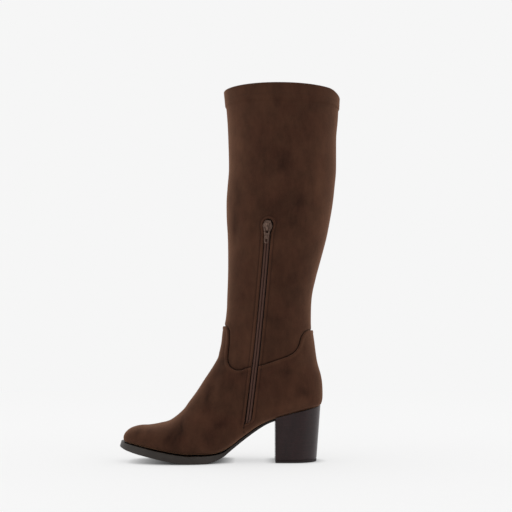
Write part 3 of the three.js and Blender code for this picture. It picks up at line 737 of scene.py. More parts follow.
leg_lining = lining_piece("leg_lining", (-LEG_LAP, FAR), (-SUEDE_WALL - 0.1, -LEG_WALL), 60, FORM_END - 3)
foot_lining = lining_piece("foot_lining", (-2 * FAR, -LEG_LAP - 1), (GAP - 0.05, -0.1), FORM_START,
                           FORM_END / 2 + 90)


# Lofted pieces
def loft_mesh(rings):
    """Points and faces of a closed piece through rings of points, with a middle point at each end."""
    rings = np.asarray(rings, float)
    rows, count = rings.shape[:2]
    points = np.concatenate([*rings, rings[0].mean(0)[None], rings[-1].mean(0)[None]])
    faces = []
    for row in range(rows - 1):
        for j in range(count):
            a, b = row * count + j, row * count + (j + 1) % count
            faces.append((a, b, b + count, a + count))
    first, last, end = rows * count, rows * count + 1, (rows - 1) * count
    faces += [(first, (j + 1) % count, j) for j in range(count)]
    faces += [(last, end + j, end + (j + 1) % count) for j in range(count)]
    return points, faces


def loft(name, rings):
    return new_mesh(name, *loft_mesh(rings))


# Outsole
sole_share, sole_thick, sole_half = columns(SOLE)
thick_curve = Curve(sole_share, sole_thick)
half_curve = Curve(sole_share, sole_half)
SOLE_ROUND = 0.8
SOLE_BULGE = 0.15
SOLE_NOSE = 0.03
NOSE_TRIM = 0.9
NOSE_SLANT = 1.9
SOLE_ROWS = 260
ROW_POWER = 1.6


def sole_ring(share):
    x, y, high = place_x(share), bend_y(share), seat_z(share)
    thick = SOLE_THICKNESS * thick_curve(share)
    low = high - thick
    half = max(BALL_WIDTH * float(half_curve(share)), 0.05)
    bevel = min(SOLE_ROUND, half * 0.6, thick * 0.4)
    corner = np.linspace(0, math.pi / 2, 6)
    flat = (half - bevel) * np.linspace(-1, 1, 13)[1:-1]
    edge = [(half - bevel + bevel * math.sin(t), low + bevel - bevel * math.cos(t)) for t in corner]
    edge += [(half - SOLE_BULGE * math.sin(math.pi * t), low + bevel + (thick - 2 * bevel) * t)
             for t in np.linspace(0, 1, 6)[1:-1]]
    edge += [(half - bevel + bevel * math.cos(t), high - bevel + bevel * math.sin(t)) for t in corner]
    ring = edge + [(-side, high) for side in flat]
    ring += [(-side, z) for side, z in reversed(edge)] + [(side, low) for side in flat]
    setback = bell(share, 0, SOLE_NOSE)
    return [(x + setback * (NOSE_TRIM + NOSE_SLANT * (z - low) / thick), y + side, z) for side, z in ring]


row_shares = sole_share[-1] * np.linspace(0, 1, SOLE_ROWS) ** ROW_POWER
outsole = loft("outsole_rubber", [sole_ring(share) for share in row_shares])


# Heel: rounded back, fine stacked layers, its top against the counter
breast_x = place_x(1) - HEEL_INSET - HEEL_TOP_LENGTH
HEEL_RIM = 1.2
HEEL_LAYERS = 42
LAYER_DEPTH = 0.12
LAYER_GROOVE = 0.12
LAYER_STEPS = 6
HEEL_EDGE = 0.9
HEEL_CORNER = 1.2
TIP_GAP = 0.15
TIP_ROUND = 0.5


def heel_outline(length, width, inset=0.0):
    """Outline from the breast's inner corner round the back, with small rounds at the breast."""
    half, small = width / 2, HEEL_CORNER
    points = []
    for t in np.linspace(0, 1, 5)[:-1] * math.pi / 2:
        points.append((small - small * math.cos(t), -half + small - small * math.sin(t)))
    points += [(x, -half) for x in np.linspace(small, length - HEEL_BACK_ROUND, 14)[:-1]]
    for t in np.linspace(-0.5, 0.5, 49) * math.pi:
        points.append((length - HEEL_BACK_ROUND * (1 - math.cos(t)), half * math.sin(t)))
    points += [(x, half) for x in np.linspace(length - HEEL_BACK_ROUND, small, 14)[1:]]
    for t in np.linspace(0, 1, 5)[1:] * math.pi / 2:
        points.append((small - small * math.sin(t), half - small + small * math.cos(t)))
    points += [(0, y) for y in np.linspace(half - small, -half + small, 18)[1:-1]]
    points = np.array(points)
    if inset:
        run = np.roll(points, -1, 0) - np.roll(points, 1, 0)
        points = points + unit(np.stack([-run[:, 1], run[:, 0]], 1)) * inset
    return points


def heel_ring(z, inset=0.0):
    share = z / HEEL_HEIGHT
    length = HEEL_FOOT_LENGTH + (HEEL_TOP_LENGTH - HEEL_FOOT_LENGTH) * share
    width = HEEL_FOOT_WIDTH + (HEEL_TOP_WIDTH - HEEL_FOOT_WIDTH) * share
    outline = heel_outline(length, width, inset)
    return np.column_stack([breast_x + outline[:, 0], outline[:, 1], np.full(len(outline), z)])


under_grid = Surface(0.6, FORM_END / 2 + 60, 3, 160)


def form_tree(offset):
    points = form_point(under_grid.at, under_grid.angle, offset)
    return BVHTree.FromPolygons(points.tolist(), under_grid.faces.tolist())


def heel_rings():
    bottom = TIP_THICKNESS + TIP_GAP
    rim = heel_ring(HEEL_HEIGHT)
    under_tree = form_tree(FOOT_PROUD + GAP)
    tops = []
    for x, y, _ in rim:
        hit = under_tree.ray_cast(Vector((x, y, bottom)), Vector((0, 0, 1)))[0]
        tops.append(hit[2] if hit is not None else np.nan)
    tops = np.array(tops)
    good = ~np.isnan(tops)
    order = np.arange(len(tops))
    tops = np.where(good, tops, np.interp(order, order[good], tops[good], period=len(tops)))
    seat = seat_z((rim[:, 0] - TOE_X) / FOOT_LENGTH) + HEEL_RIM
    tops = np.minimum(tops, seat)
    rings = []
    for share in np.linspace(0, 1, HEEL_LAYERS * LAYER_STEPS + 1):
        layer = (share * HEEL_LAYERS) % 1
        groove = LAYER_DEPTH * (bell(layer, 0, LAYER_GROOVE) + bell(layer, 1, LAYER_GROOVE))
        low_edge = HEEL_EDGE * 0.35 * bell(share, 0, 0.012)
        ring = heel_ring(bottom + (HEEL_HEIGHT - bottom) * share, groove + low_edge)
        ring[:, 2] = bottom + (tops - bottom) * share
        rings.append(ring)
    top = rings[-1]
    middle = top.mean(0)
    for shrink in (0.93, 0.6, 0.3):
        inner = middle + (top - middle) * shrink
        inner[:, 2] = top[:, 2] - HEEL_RIM
        rings.append(inner)
    start = rings[0]
    cap = start.mean(0) + (start - start.mean(0)) * 0.94
    cap[:, 2] = bottom
    return [cap] + rings


heel_stack = loft("heel_stack", heel_rings())


def tip_rings():
    rings = [heel_ring(0.0, HEEL_EDGE)]
    for angle in np.linspace(0, math.pi / 2, 6):
        rings.append(heel_ring(*(TIP_ROUND * (1 - part) for part in (math.cos(angle), math.sin(angle)))))
    for z in np.linspace(TIP_ROUND, TIP_THICKNESS - 0.3, 5)[1:]:
        rings.append(heel_ring(z))
    rings.append(heel_ring(TIP_THICKNESS, 0.25))
    return rings


heel_tip = loft("heel_tip_rubber", tip_rings())


# Insole: a soft sock on the bottom of the hollow
SOCK_HEIGHT = 2.0
SOCK_GAP = 0.25
SOCK_SPAN = (0.045, 0.955)


def sock_rings():
    tree = form_tree(-0.15)
    rings = []
    for share in np.linspace(*SOCK_SPAN, 90):
        x, z = seat_point(share, 0)
        y = float(bend_y(share))
        top = z + SOCK_HEIGHT
        sides = []
        for direction in (-1, 1):
            hit = tree.ray_cast(Vector((x, y, top - 0.6)), Vector((0, direction, 0)))[0]
            sides.append(abs(hit[1] - y) - SOCK_GAP if hit is not None else 2.0)
        spots = [(t, sides[0] if t < 0 else sides[1], 0.5 * abs(t) ** 8) for t in np.linspace(-1, 1, 25)]
        ring = [(x, y + half * t, top - rim - 0.15) for t, half, rim in spots]
        ring += [(x, y + (half - 1.0) * t, z + 0.2 + rim) for t, half, rim in reversed(spots)]
        rings.append(ring)
    return rings


insole_sock = loft("insole_sock", sock_rings())


# Zip
def medial_spot(x, z):
    """Place along and angle round the form of the inner side's point with the given x and z."""
    x, z = np.broadcast_arrays(np.asarray(x, float), np.asarray(z, float))

    def halved(low, high, before):
        low, high = np.full(x.shape, low), np.full(x.shape, high)
        for _ in range(26):
            half = (low + high) / 2
            early = before(half)
            low, high = np.where(early, half, low), np.where(early, high, half)
        return (low + high) / 2

    def angle_at(at):
        return halved(math.pi / 2, 1.5 * math.pi, lambda angle: point_on(at, angle)[..., 0] < x)

    at = halved(section_at[len(FOOT) // 2 + 1], FORM_END, lambda at: point_on(at, angle_at(at))[..., 2] < z)
    return at, angle_at(at)


seam_cross = HEEL_HEIGHT + ANKLE_HEIGHT * Curve(*columns(SEAM[4:]))(ZIP_BOTTOM_PLACE)
COIL_RISE = 10


def coil_face(z):
    on_foot = 1 - smooth(z, seam_cross - COIL_RISE / 2, seam_cross + COIL_RISE / 2)
    return (FOOT_PROUD - GAP) * on_foot - RIDGE_DEPTH


RIB_PITCH = 1.3
RIB_STEPS = 6
RIB_HEIGHT = 0.22
COIL_SHARES = {-1: (0, 0.455), 1: (0.545, 1)}
COIL_BORDERS = (1.35, 1.1)
COIL_HEIGHT = 1.1
COIL_TWIST = 0.22
TAPE_SINK = 0.25


def strip_points(levels, offsets, depths):
    """Points of a ribbon along the zip: one row per level, one column per offset from its middle line."""
    z = levels[:, None]
    at, angle = medial_spot(zip_x(z) + offsets, z)
    return form_point(at, angle, depths)


def coil_rings(side):
    """One row of the coil. It narrows with the slot at the foot end."""
    levels = np.arange(ZIP_FOOT_Z + 0.8, ZIP_TOP_Z - 3.2, RIB_PITCH / RIB_STEPS)
    turns = np.linspace(0, math.pi, 9)
    low, high = COIL_SHARES[side]
    shares = low + (high - low) * (1 - np.cos(turns)) / 2
    lift = np.sin(turns) ** 0.7
    phase = (levels / RIB_PITCH)[:, None] + COIL_TWIST * np.linspace(-1, 1, 9)[None] * side
    ribs = RIB_HEIGHT * abs(np.sin(math.pi * phase)) * lift
    face = coil_face(levels)[:, None]
    depth = face - COIL_HEIGHT * (1 - lift) - RIB_HEIGHT + ribs
    room = SLOT_WIDTH - slot_closing(levels) - sum(COIL_BORDERS)
    offsets = COIL_BORDERS[0] - SLOT_WIDTH / 2 + room[:, None] * shares
    top = strip_points(levels, offsets, depth)
    root = strip_points(levels, offsets[:, [-1, 0]], -LEG_WALL - 0.3)
    return np.concatenate([top, root], 1)[:, ::-1]


coil_front = loft("zip_ridge_front", coil_rings(-1))
coil_back = loft("zip_ridge_back", coil_rings(1))


def tape_rings():
    levels = np.linspace(ZIP_FOOT_Z - 2, ZIP_TOP_Z - 3, 120)
    offsets = np.linspace(-TAPE_WIDTH, TAPE_WIDTH, 19)
    face = -LEG_WALL - TAPE_SINK
    front = strip_points(levels, offsets, face)
    back = strip_points(levels, offsets[::-1], face - 0.6)
    return np.concatenate([front, back], 1)[:, ::-1]


zip_tape = loft("zip_tape", tape_rings())


# Slider and pull, in a frame that lies on the leg
def slider_matrix():
    spot_z = ZIP_TOP_Z - SLIDER_DROP
    below_z = spot_z - SLIDER_HEIGHT
    at, angle = medial_spot(zip_x(spot_z), spot_z)
    low_at, low_angle = medial_spot(zip_x(below_z), below_z)
    place = form_point(at, angle, 0.0)
    up = unit(place - form_point(low_at, low_angle, 0.0))
    across = unit(np.cross(up, form_normal(at, angle)))
    inward = unit(np.cross(up, across))
    return np.column_stack([across, inward, up]), place


slider_turn, slider_place = slider_matrix()


def on_slider(points):
    return np.asarray(points, float) @ slider_turn.T + slider_place


def rounded(outline, radius, steps=6):
    """Outline with its corners rounded. Each corner is (x, z) or (x, z, own radius)."""
    corners = [np.array(corner[:2], float) for corner in outline]
    points = []
    for i, corner in enumerate(corners):
        own = outline[i][2] if len(outline[i]) > 2 else radius
        before = unit(corners[i - 1] - corner)
        after = unit(corners[(i + 1) % len(corners)] - corner)
        half = math.acos(np.clip(before @ after, -1, 1)) / 2
        reach = own / math.tan(half)
        start, end = corner + before * reach, corner + after * reach
        for t in np.linspace(0, 1, steps + 1):
            points.append((1 - t) ** 2 * start + 2 * t * (1 - t) * corner + t ** 2 * end)
    return np.array(points)


def plate_mesh(outlines, thickness, bevel):
    """Plate with rounded rims from a filled curve: the first outline is its edge, the rest are holes."""
    data = bpy.data.curves.new("plate", "CURVE")
    data.dimensions = "2D"
    data.fill_mode = "BOTH"
    data.extrude = thickness / 2 - bevel
    data.bevel_depth = bevel
    data.bevel_resolution = 3
    data.offset = -bevel
    for outline in outlines:
        line = data.splines.new("POLY")
        line.points.add(len(outline) - 1)
        flat = np.zeros(len(outline))
        line.points.foreach_set("co", np.column_stack([outline, flat, flat + 1]).ravel())
        line.use_cyclic_u = True
    holder = bpy.data.objects.new("plate", data)
    bpy.context.scene.collection.objects.link(holder)
    mesh = bpy.data.meshes.new_from_object(holder.evaluated_get(bpy.context.evaluated_depsgraph_get()))
    points = np.zeros(len(mesh.vertices) * 3, np.float32)
    mesh.vertices.foreach_get("co", points)
    faces = [tuple(polygon.vertices) for polygon in mesh.polygons]
    bpy.data.objects.remove(holder)
    bpy.data.curves.remove(data)
    bpy.data.meshes.remove(mesh)
    return points.reshape(-1, 3).astype(float), faces


def upright(points, depth):
    """From a plate's own plane to the slider's frame, at a depth outside the leg."""
    return np.column_stack([points[:, 0], -depth + points[:, 2], points[:, 1]])


def merged(parts):
    points, faces, count = [], [], 0
    for part_points, part_faces in parts:
        points.append(part_points)
        faces += [tuple(index + count for index in face) for face in part_faces]
        count += len(part_points)
    return np.concatenate(points), faces


def tube(path, widths, height, sides=16):
    """Rounded bar through points in the slider's frame, flattened to a width across and a height outward."""
    path = np.asarray(path, float)
    run = unit(np.gradient(path, axis=0))
    across = np.tile([1.0, 0, 0], (len(path), 1))
    outward = unit(np.cross(run, across))
    turns = np.linspace(0, 2 * math.pi, sides, endpoint=False)
    rings = (path[:, None] + across[:, None] * (np.cos(turns)[None, :, None] * widths[:, None, None])
             + outward[:, None] * (np.sin(turns)[None, :, None] * height))
    points, faces = loft_mesh(rings)
    return points, [face[:1] + face[:0:-1] for face in faces]


SLIDER_FACE = 2 * GAP
SLIDER_OUTER = SLIDER_FACE + SLIDER_THICKNESS
BAR_DEPTH = SLIDER_OUTER + GAP + BAR_THICKNESS / 2
BRIDGE_REACH = 4.4
BRIDGE_RISE = 0.45
BRIDGE_SINK = 0.4


def slider_parts():
    half = SLIDER_HEIGHT / 2
    sides = [(-SLIDER_END_WIDTH / 2, -half), (SLIDER_END_WIDTH / 2, -half), (SLIDER_WIDTH / 2, 0, 1.6),
             (SLIDER_TOP_WIDTH / 2, half), (-SLIDER_TOP_WIDTH / 2, half), (-SLIDER_WIDTH / 2, 0, 1.6)]
    body, body_faces = plate_mesh([rounded(sides, 0.9)], SLIDER_THICKNESS, 0.4)
    raised = rounded([(corner[0] * 0.72, corner[1] * 0.8) for corner in sides], 0.7)
    crown, crown_faces = plate_mesh([raised], 0.7, 0.3)
    grip = rounded([(-3.2, -half), (3.2, -half), (3.2, half), (-3.2, half)], 0.5)
    core, core_faces = plate_mesh([grip], 1.0, 0.2)
    middle = SLIDER_FACE + SLIDER_THICKNESS / 2
    top = BAR_DEPTH + BAR_THICKNESS / 2 + GAP + BRIDGE_RISE
    turns = np.linspace(0, math.pi, 25)
    base = SLIDER_OUTER - BRIDGE_SINK
    path = [(0, -(base + (top - base) * math.sin(t) ** 0.55), BAR_PLACE + 0.5 + BRIDGE_REACH * math.cos(t))
            for t in turns]
    widths = 1.9 - 0.75 * np.linspace(0, 1, 25) ** 1.3
    return [(upright(body, middle), body_faces), (upright(crown, SLIDER_OUTER + 0.1), crown_faces),
            (upright(core, 0.35), core_faces), tube(path, widths, 0.5)]


slider_points, slider_faces = merged(slider_parts())
METAL_SHARP = 50
zip_slider = new_mesh("slider_body", on_slider(slider_points), slider_faces, sharp=METAL_SHARP)


def pull_parts():
    top = BAR_THICKNESS / 2
    end = top - PULL_LENGTH
    head, tail = PULL_HEAD_WIDTH / 2, PULL_END_WIDTH / 2
    outline = rounded([
        (-tail, end, 2.1), (tail, end, 2.1), (tail + 0.25, end + 8.5, 4), (head, -6.2, 3), (head, top, 1.4),
        (-head, top, 1.4), (-head, -6.2, 3), (-tail - 0.25, end + 8.5, 4),
    ], 1.0, 8)
    window = rounded([(-1.9, -6.4, 1.7), (1.9, -6.4, 1.7), (1.9, -0.62, 0.5), (-1.9, -0.62, 0.5)], 0.5)[::-1]
    hole = rounded([(-1.4, end + 1.3), (1.4, end + 1.3), (1.4, end + 5.1), (-1.4, end + 5.1)], 1.0)[::-1]
    points, faces = plate_mesh([outline, window, hole], BAR_THICKNESS, 0.35)
    return upright(points, BAR_DEPTH) + [0, 0, BAR_PLACE], faces


pull_points, pull_faces = pull_parts()
zip_pull = new_mesh("pull_tab", on_slider(pull_points), pull_faces, sharp=METAL_SHARP)


# Stitches: short rounded threads in a row
def stitches(name, places, directions, normals, length, thick):
    sides, rings = 6, 5
    t = np.linspace(-1, 1, rings)
    swell = np.sqrt(np.maximum(0.02, 1 - t ** 4))
    turns = np.linspace(0, 2 * math.pi, sides, endpoint=False)
    across = unit(np.cross(normals, directions))
    unit_faces = []
    for i in range(rings - 1):
        for j in range(sides):
            a, b = i * sides + j, i * sides + (j + 1) % sides
            unit_faces.append((a, b, b + sides, a + sides))
    unit_faces += [tuple(range(sides))[::-1], tuple((rings - 1) * sides + j for j in range(sides))]
    points, faces = [], []
    lift = (thick * 0.6 * (1 - t ** 2) - thick * 0.2)[:, None]
    wide = np.cos(turns)[None, :, None] * thick
    high = np.sin(turns)[None, :, None] * thick * 0.7
    for k, (place, direction, normal, side) in enumerate(zip(places, directions, normals, across)):
        middle = (place + direction * (t[:, None] * length / 2) + normal * lift)[:, None]
        body = middle + (side * wide + normal * high) * swell[:, None, None]
        points.append(body.reshape(-1, 3))
        faces += [tuple(index + k * sides * rings for index in face) for face in unit_faces]
    return new_mesh(name, np.concatenate(points), faces)


STITCH_PITCH = 2.7
STITCH_LENGTH = 2.0
STITCH_THICKNESS = 0.24
STITCH_SINK = 0.12


def zip_stitches(side):
    levels = np.arange(ZIP_FOOT_Z + 8, ZIP_TOP_Z - 2, STITCH_PITCH)

    def lay(z):
        x = zip_x(z) + side * (slot_half(z) + STITCH_OFFSET)
        at, angle = medial_spot(x, z)
        seam = seam_field(form_point(at, angle, FOOT_PROUD))
        proud = np.where(seam < 0, FOOT_PROUD, 0.0)
        return form_point(at, angle, proud - STITCH_SINK), form_normal(at, angle), seam

    place, normal, seam = lay(levels)
    ahead = lay(levels + 0.5)[0]
    clear = abs(seam) > 2.0
    direction = unit(ahead - place)
    return place[clear], direction[clear], normal[clear]


both_rows = [np.concatenate(pair) for pair in zip(zip_stitches(-1), zip_stitches(1))]
zip_stitching = stitches("zip_stitching", *both_rows, STITCH_LENGTH, STITCH_THICKNESS)
HEM_STITCH_DROP = 12.0
HEM_STITCH_PITCH = 3.2
HEM_STITCH_LENGTH = 2.3
HEM_STITCH_THICKNESS = 0.2


def hem_stitches():
    at = FORM_END - HEM_STITCH_DROP
    angles = np.linspace(0, 2 * math.pi, 1441)
    line = form_point(at, angles, HEM_STEP - 0.1)
    lengths = np.concatenate([[0], np.cumsum(np.linalg.norm(np.diff(line, axis=0), axis=1))])
    count = int(lengths[-1] / HEM_STITCH_PITCH)
    angle = np.interp(np.arange(count) * lengths[-1] / count, lengths, angles)
    place, ahead = (lifted(form_point(at, turned, HEM_STEP - STITCH_SINK))
                    for turned in (angle, angle + 0.005))
    return place, unit(ahead - place), form_normal(at, angle)


hem_stitching = stitches("hem_stitching", *hem_stitches(), HEM_STITCH_LENGTH, HEM_STITCH_THICKNESS)


# Materials
class Nodes:
    """A node tree, with short calls for its nodes."""

    def __init__(self, tree):
        self.tree = tree

    def add(self, kind, inputs=None, **settings):
        node = self.tree.nodes.new(kind)
        for key, value in settings.items():
            setattr(node, key, value)
        for key, value in (inputs or {}).items():
            self.feed(node.inputs[key], value)
        return node

    def feed(self, socket, value):
        if isinstance(value, bpy.types.NodeSocket):
            self.tree.links.new(value, socket)
        else:
            socket.default_value = value

    def math(self, operation, a, b=0.0):
        return self.add("ShaderNodeMath", {0: a, 1: b}, operation=operation).outputs["Value"]


class Paint(Nodes):
    """One material."""

    def __init__(self, name, **settings):
        self.material = bpy.data.materials.new(name)
        self.material.use_nodes = True
        super().__init__(self.material.node_tree)
        self.shader = self.tree.nodes["Principled BSDF"]
        for key, value in settings.items():
            self.shader.inputs[key.replace("_", " ")].default_value = value
        self.place = self.add("ShaderNodeTexCoord").outputs["Object"]

    def noise(self, scale, detail=3.0, roughness=0.55, stretch=(1, 1, 1), shift=(0, 0, 0), turn=(0, 0, 0)):
        place = self.add("ShaderNodeMapping", {"Vector": self.place, "Scale": stretch, "Location": shift,
                                              "Rotation": turn}).outputs["Vector"]
        return self.add("ShaderNodeTexNoise", {"Vector": place, "Scale": scale, "Detail": detail,
                                               "Roughness": roughness}).outputs["Fac"]

    def spread(self, value, low, high):
        node = self.add("ShaderNodeMapRange", {"Value": value, "From Min": low, "From Max": high})
        return node.outputs["Result"]

    def mix(self, factor, a, b):
        return self.add("ShaderNodeMix", {"Factor": factor, 6: a, 7: b}, data_type="RGBA").outputs[2]

    def attribute(self, name):
        return self.add("ShaderNodeAttribute", attribute_name=name).outputs["Fac"]

    def colour(self, value):
        self.feed(self.shader.inputs["Base Color"], value)

    def roughness(self, value):
        self.feed(self.shader.inputs["Roughness"], value)

    def bump(self, height, distance, strength=1.0):
        node = self.add("ShaderNodeBump", {"Height": height, "Distance": distance, "Strength": strength})
        self.feed(self.shader.inputs["Normal"], node.outputs["Normal"])


def linear(red, green, blue):
    """Screen colour, 0 to 255, as a linear colour."""
    values = np.array([red, green, blue]) / 255
    return (*np.where(values <= 0.04045, values / 12.92, ((values + 0.055) / 1.055) ** 2.4), 1.0)


def suede_paint():
    paint = Paint("suede", Sheen_Weight=0.52, Sheen_Roughness=0.47, Sheen_Tint=linear(200, 150, 120),
                  Specular_IOR_Level=0.1)
    broad = paint.noise(22, 3, stretch=(1, 1, 0.6))
    patches = paint.noise(70, 4, 0.6, stretch=(1, 1, 0.7), shift=(3, 1, 2))
    strokes = paint.noise(260, 3, 0.6, stretch=(1, 1, 0.35), turn=(0, 0.25, 0), shift=(1, 5, 2))
    fibres = paint.noise(2600, 2, 0.6, stretch=(1, 1, 0.4))
    lift = 0.0
    for value, weight in ((broad, 1.0), (patches, 0.9), (strokes, 0.3), (fibres, 0.35)):
        lift = paint.math("ADD", lift, paint.math("MULTIPLY", paint.math("SUBTRACT", value, 0.5), weight))
    # Painted shade and highlight of creases, seams and the zip's edges, with nap tone, from the mesh's
    # attribute
    lift = paint.math("ADD", lift, paint.math("MULTIPLY", paint.attribute("nap"), 0.42))
    factor = paint.spread(lift, -0.55, 0.55)
    dark = paint.mix(factor, linear(34, 19, 13), linear(80, 52, 38))
    reddish = paint.spread(paint.noise(45, 3, shift=(7, 7, 7)), 0.4, 0.7)
    warm = paint.mix(paint.math("MULTIPLY", reddish, 0.2), dark, linear(72, 38, 28))
    # Painted shade: the seams' grooves darkened towards near black
    paint.colour(paint.mix(paint.math("MULTIPLY", paint.attribute("groove"), 0.8), warm, linear(16, 9, 7)))
    paint.roughness(0.95)
    height = paint.math("ADD", paint.math("MULTIPLY", fibres, 0.5), paint.math("MULTIPLY", strokes, 0.5))
    paint.bump(height, 0.0004, 0.6)
    return paint.material


def plain_paint(name, scale, detail, height, dark, light, roughness, distance, strength, patches=None,
                **settings):
    """Material with one grain for bumps and tones, or with wider patches of tone."""
    paint = Paint(name, **settings)
    tone = grain = paint.noise(scale, detail, stretch=(1, 1, height))
    if patches:
        tone = paint.spread(paint.noise(*patches[:2]), *patches[2:])
    paint.colour(paint.mix(tone, linear(*dark), linear(*light)))
    paint.roughness(paint.spread(grain, *roughness) if isinstance(roughness, tuple) else roughness)
    paint.bump(grain, distance, strength)
    return paint.material


def sole_paint():
    paint = Paint("sole_rubber", Specular_IOR_Level=0.36)
    cloud = paint.noise(90, 3)
    grain = paint.noise(1400, 2)
    edge = paint.mix(paint.spread(cloud, 0.3, 0.7), linear(36, 29, 24), linear(48, 41, 36))
    along = paint.add("ShaderNodeSeparateXYZ", {"Vector": paint.place}).outputs["X"]
    paint.colour(paint.mix(paint.spread(along, -0.03, 0.01), edge, linear(28, 17, 11)))
    paint.roughness(paint.spread(cloud, -0.6, 2.0))
    paint.bump(grain, 0.0001, 0.4)
    return paint.material


def heel_paint():
    paint = Paint("heel_wood", Specular_IOR_Level=0.34)
    layers = paint.noise(40, 2, stretch=(1, 1, 26))
    streaks = paint.noise(120, 3, stretch=(1, 1, 0.25), shift=(2, 2, 2))
    grain = paint.noise(700, 3, stretch=(0.3, 0.3, 6))
    mixed = paint.math("ADD", paint.math("MULTIPLY", layers, 0.5), paint.math("MULTIPLY", streaks, 0.5))
    paint.colour(paint.mix(paint.spread(mixed, 0.35, 0.65), linear(20, 2, 3), linear(38, 16, 17)))
    paint.roughness(paint.spread(grain, -0.75, 3.2))
    paint.bump(grain, 0.00008, 0.5)
    return paint.material


def zip_paint():
    return plain_paint("zip_nylon", 1800, 2, 2, (52, 30, 23), (92, 62, 50), 0.6, 0.00015, 0.5,
                       Specular_IOR_Level=0.25)


def metal_paint():
    return plain_paint("gunmetal", 4000, 2, 1, (84, 66, 59), (126, 104, 92), (-0.3, 2.1), 0.00003, 0.4,
                       (500, 4, 0.35, 0.7), Metallic=1.0)


suede = suede_paint()
thread = plain_paint("thread", 3000, 2, 1, (36, 21, 16), (60, 40, 31), 0.7, 0.0001, 0.6,
                     Specular_IOR_Level=0.15)
lining = plain_paint("lining", 900, 2, 3, (70, 52, 44), (104, 82, 70), 0.9, 0.0003, 0.5,
                     Specular_IOR_Level=0.2)
sock_leather = plain_paint("insole_leather", 900, 4, 1, (120, 98, 80), (150, 126, 104), 0.75, 0.0002, 0.4,
                           (40, 3, 0.3, 0.7), Specular_IOR_Level=0.3)
tip_rubber = plain_paint("tip_rubber", 1200, 3, 1, (20, 11, 11), (34, 23, 23), 0.6, 0.0001, 0.4,
                         Specular_IOR_Level=0.3)
tape_cloth = plain_paint("zip_tape_cloth", 1500, 2, 3, (16, 10, 9), (28, 19, 16), 0.9, 0.0002, 0.5,
                         Specular_IOR_Level=0.2)

# Which piece stands for which solid
for piece, body, slot, material, nodes in (
    (foot_suede, "root", "suede", suede, ["upper"]),
    (leg_suede, "root", "suede", suede, ["shaft"]),
    (leg_lining, "root", "insole", lining, []),
    (foot_lining, "root", "insole", lining, []),
    (insole_sock, "root", "insole", sock_leather, ["insole"]),
    (outsole, "root", "sole", sole_paint(), ["outsole"]),
    (heel_stack, "root", "heel", heel_paint(), ["heel"]),
    (heel_tip, "root", "tip", tip_rubber, ["heel_tip"]),
    (zip_tape, "root", "zip", tape_cloth, ["zip_tape_front", "zip_tape_back"]),
    (coil_front, "root", "zip", zip_paint(), ["zip_coil_front"]),
    (coil_back, "root", "zip", zip_paint(), ["zip_coil_back"]),
    (zip_slider, "root", "metal", metal_paint(), ["zip_slider"]),
    (zip_pull, "pull", "metal", metal_paint(), ["zip_pull"]),
    (zip_stitching, "root", "suede", thread, []),
    (hem_stitching, "root", "suede", thread, []),
):
    piece.data.materials.append(material)
    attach(piece, body)
    if nodes:
        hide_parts(*nodes)

# Floor and backdrop in one sweep
FLOOR_FRONT = -3.0
FLOOR_BACK = 2.2
SWEEP_RADIUS = 1.2
BACKDROP_HEIGHT = 4.0
BACKDROP_HALF = 5.0
PAPER_TONE = 0.324
PAPER_LIGHT = 0.9216
FLOOR_GLOW = 0.6
CONTACT_REACH = 0.014
WALL_BLEND = (0.4, 1.6)


def backdrop():
    turns = np.linspace(0, math.pi / 2, 24)
    profile = [(FLOOR_FRONT, 0.0)]
    profile += [(FLOOR_BACK + SWEEP_RADIUS * math.sin(t), SWEEP_RADIUS * (1 - math.cos(t))) for t in turns]
    profile.append((FLOOR_BACK + SWEEP_RADIUS, BACKDROP_HEIGHT))
    points = [(side, y, z) for y, z in profile for side in (-BACKDROP_HALF, BACKDROP_HALF)]
    faces = [(2 * i, 2 * i + 1, 2 * i + 3, 2 * i + 2) for i in range(len(profile) - 1)]
    return new_mesh("backdrop", np.array(points) / MM, faces)


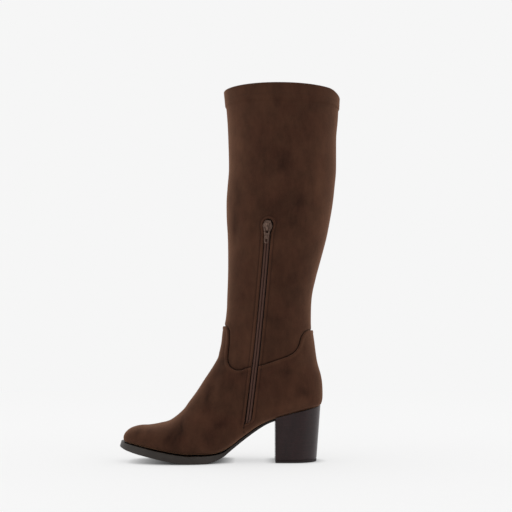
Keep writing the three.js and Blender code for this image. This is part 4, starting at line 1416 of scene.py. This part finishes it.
floor = backdrop()
floor_paint = Paint("paper", Specular_IOR_Level=0.0)
paper = floor_paint.noise(300, 2)
low_tone, high_tone = PAPER_TONE - 0.005, PAPER_TONE + 0.005
floor_paint.colour(floor_paint.mix(paper, (low_tone,) * 3 + (1,), (high_tone,) * 3 + (1,)))
floor_paint.roughness(1.0)
depth = floor_paint.add("ShaderNodeSeparateXYZ", {"Vector": floor_paint.place}).outputs["Y"]
wall_share = floor_paint.spread(depth, *WALL_BLEND)
# Painted contact shadow: the floor's glow is dimmed by ambient occlusion near the boot
openness = floor_paint.add("ShaderNodeAmbientOcclusion", {"Distance": CONTACT_REACH}).outputs["AO"]
glow = floor_paint.math("MULTIPLY", openness, FLOOR_GLOW)
floor_glow, wall_glow = (floor_paint.add("ShaderNodeEmission", {"Color": (1, 1, 1, 1), "Strength": strength})
                         for strength in (glow, PAPER_LIGHT))
both = floor_paint.add("ShaderNodeAddShader", {0: floor_paint.shader.outputs[0], 1: floor_glow.outputs[0]})
blend = floor_paint.add("ShaderNodeMixShader", {0: wall_share, 1: both.outputs[0], 2: wall_glow.outputs[0]})
floor_paint.feed(floor_paint.tree.nodes["Material Output"].inputs["Surface"], blend.outputs[0])
floor.data.materials.append(floor_paint.material)


# Light from all around: dim from the camera's side, bright from the left, the right and above
WORLD_BASE = 0.28
WORLD_SIDES = 1.1
WORLD_TOP = 1.0

WORLD_BLEND = (0.45, 0.95)

world = bpy.data.worlds.new("studio")
world.use_nodes = True
studio = Nodes(world.node_tree)
background = studio.tree.nodes["Background"]
place = studio.add("ShaderNodeTexCoord").outputs["Generated"]
direction = studio.add("ShaderNodeSeparateXYZ", {"Vector": place}).outputs
sides = studio.add("ShaderNodeMapRange", {
    "Value": studio.math("ABSOLUTE", direction["X"]), "From Min": WORLD_BLEND[0], "From Max": WORLD_BLEND[1],
}, interpolation_type="SMOOTHSTEP").outputs["Result"]
above = studio.math("MAXIMUM", direction["Z"])
light = studio.math("MULTIPLY", studio.math("MULTIPLY", above, above), WORLD_TOP)
light = studio.math("ADD", light, studio.math("MULTIPLY", sides, WORLD_SIDES))
studio.feed(background.inputs["Color"], (1, 1, 1, 1))
studio.feed(background.inputs["Strength"], studio.math("ADD", light, WORLD_BASE))
bpy.context.scene.world = world
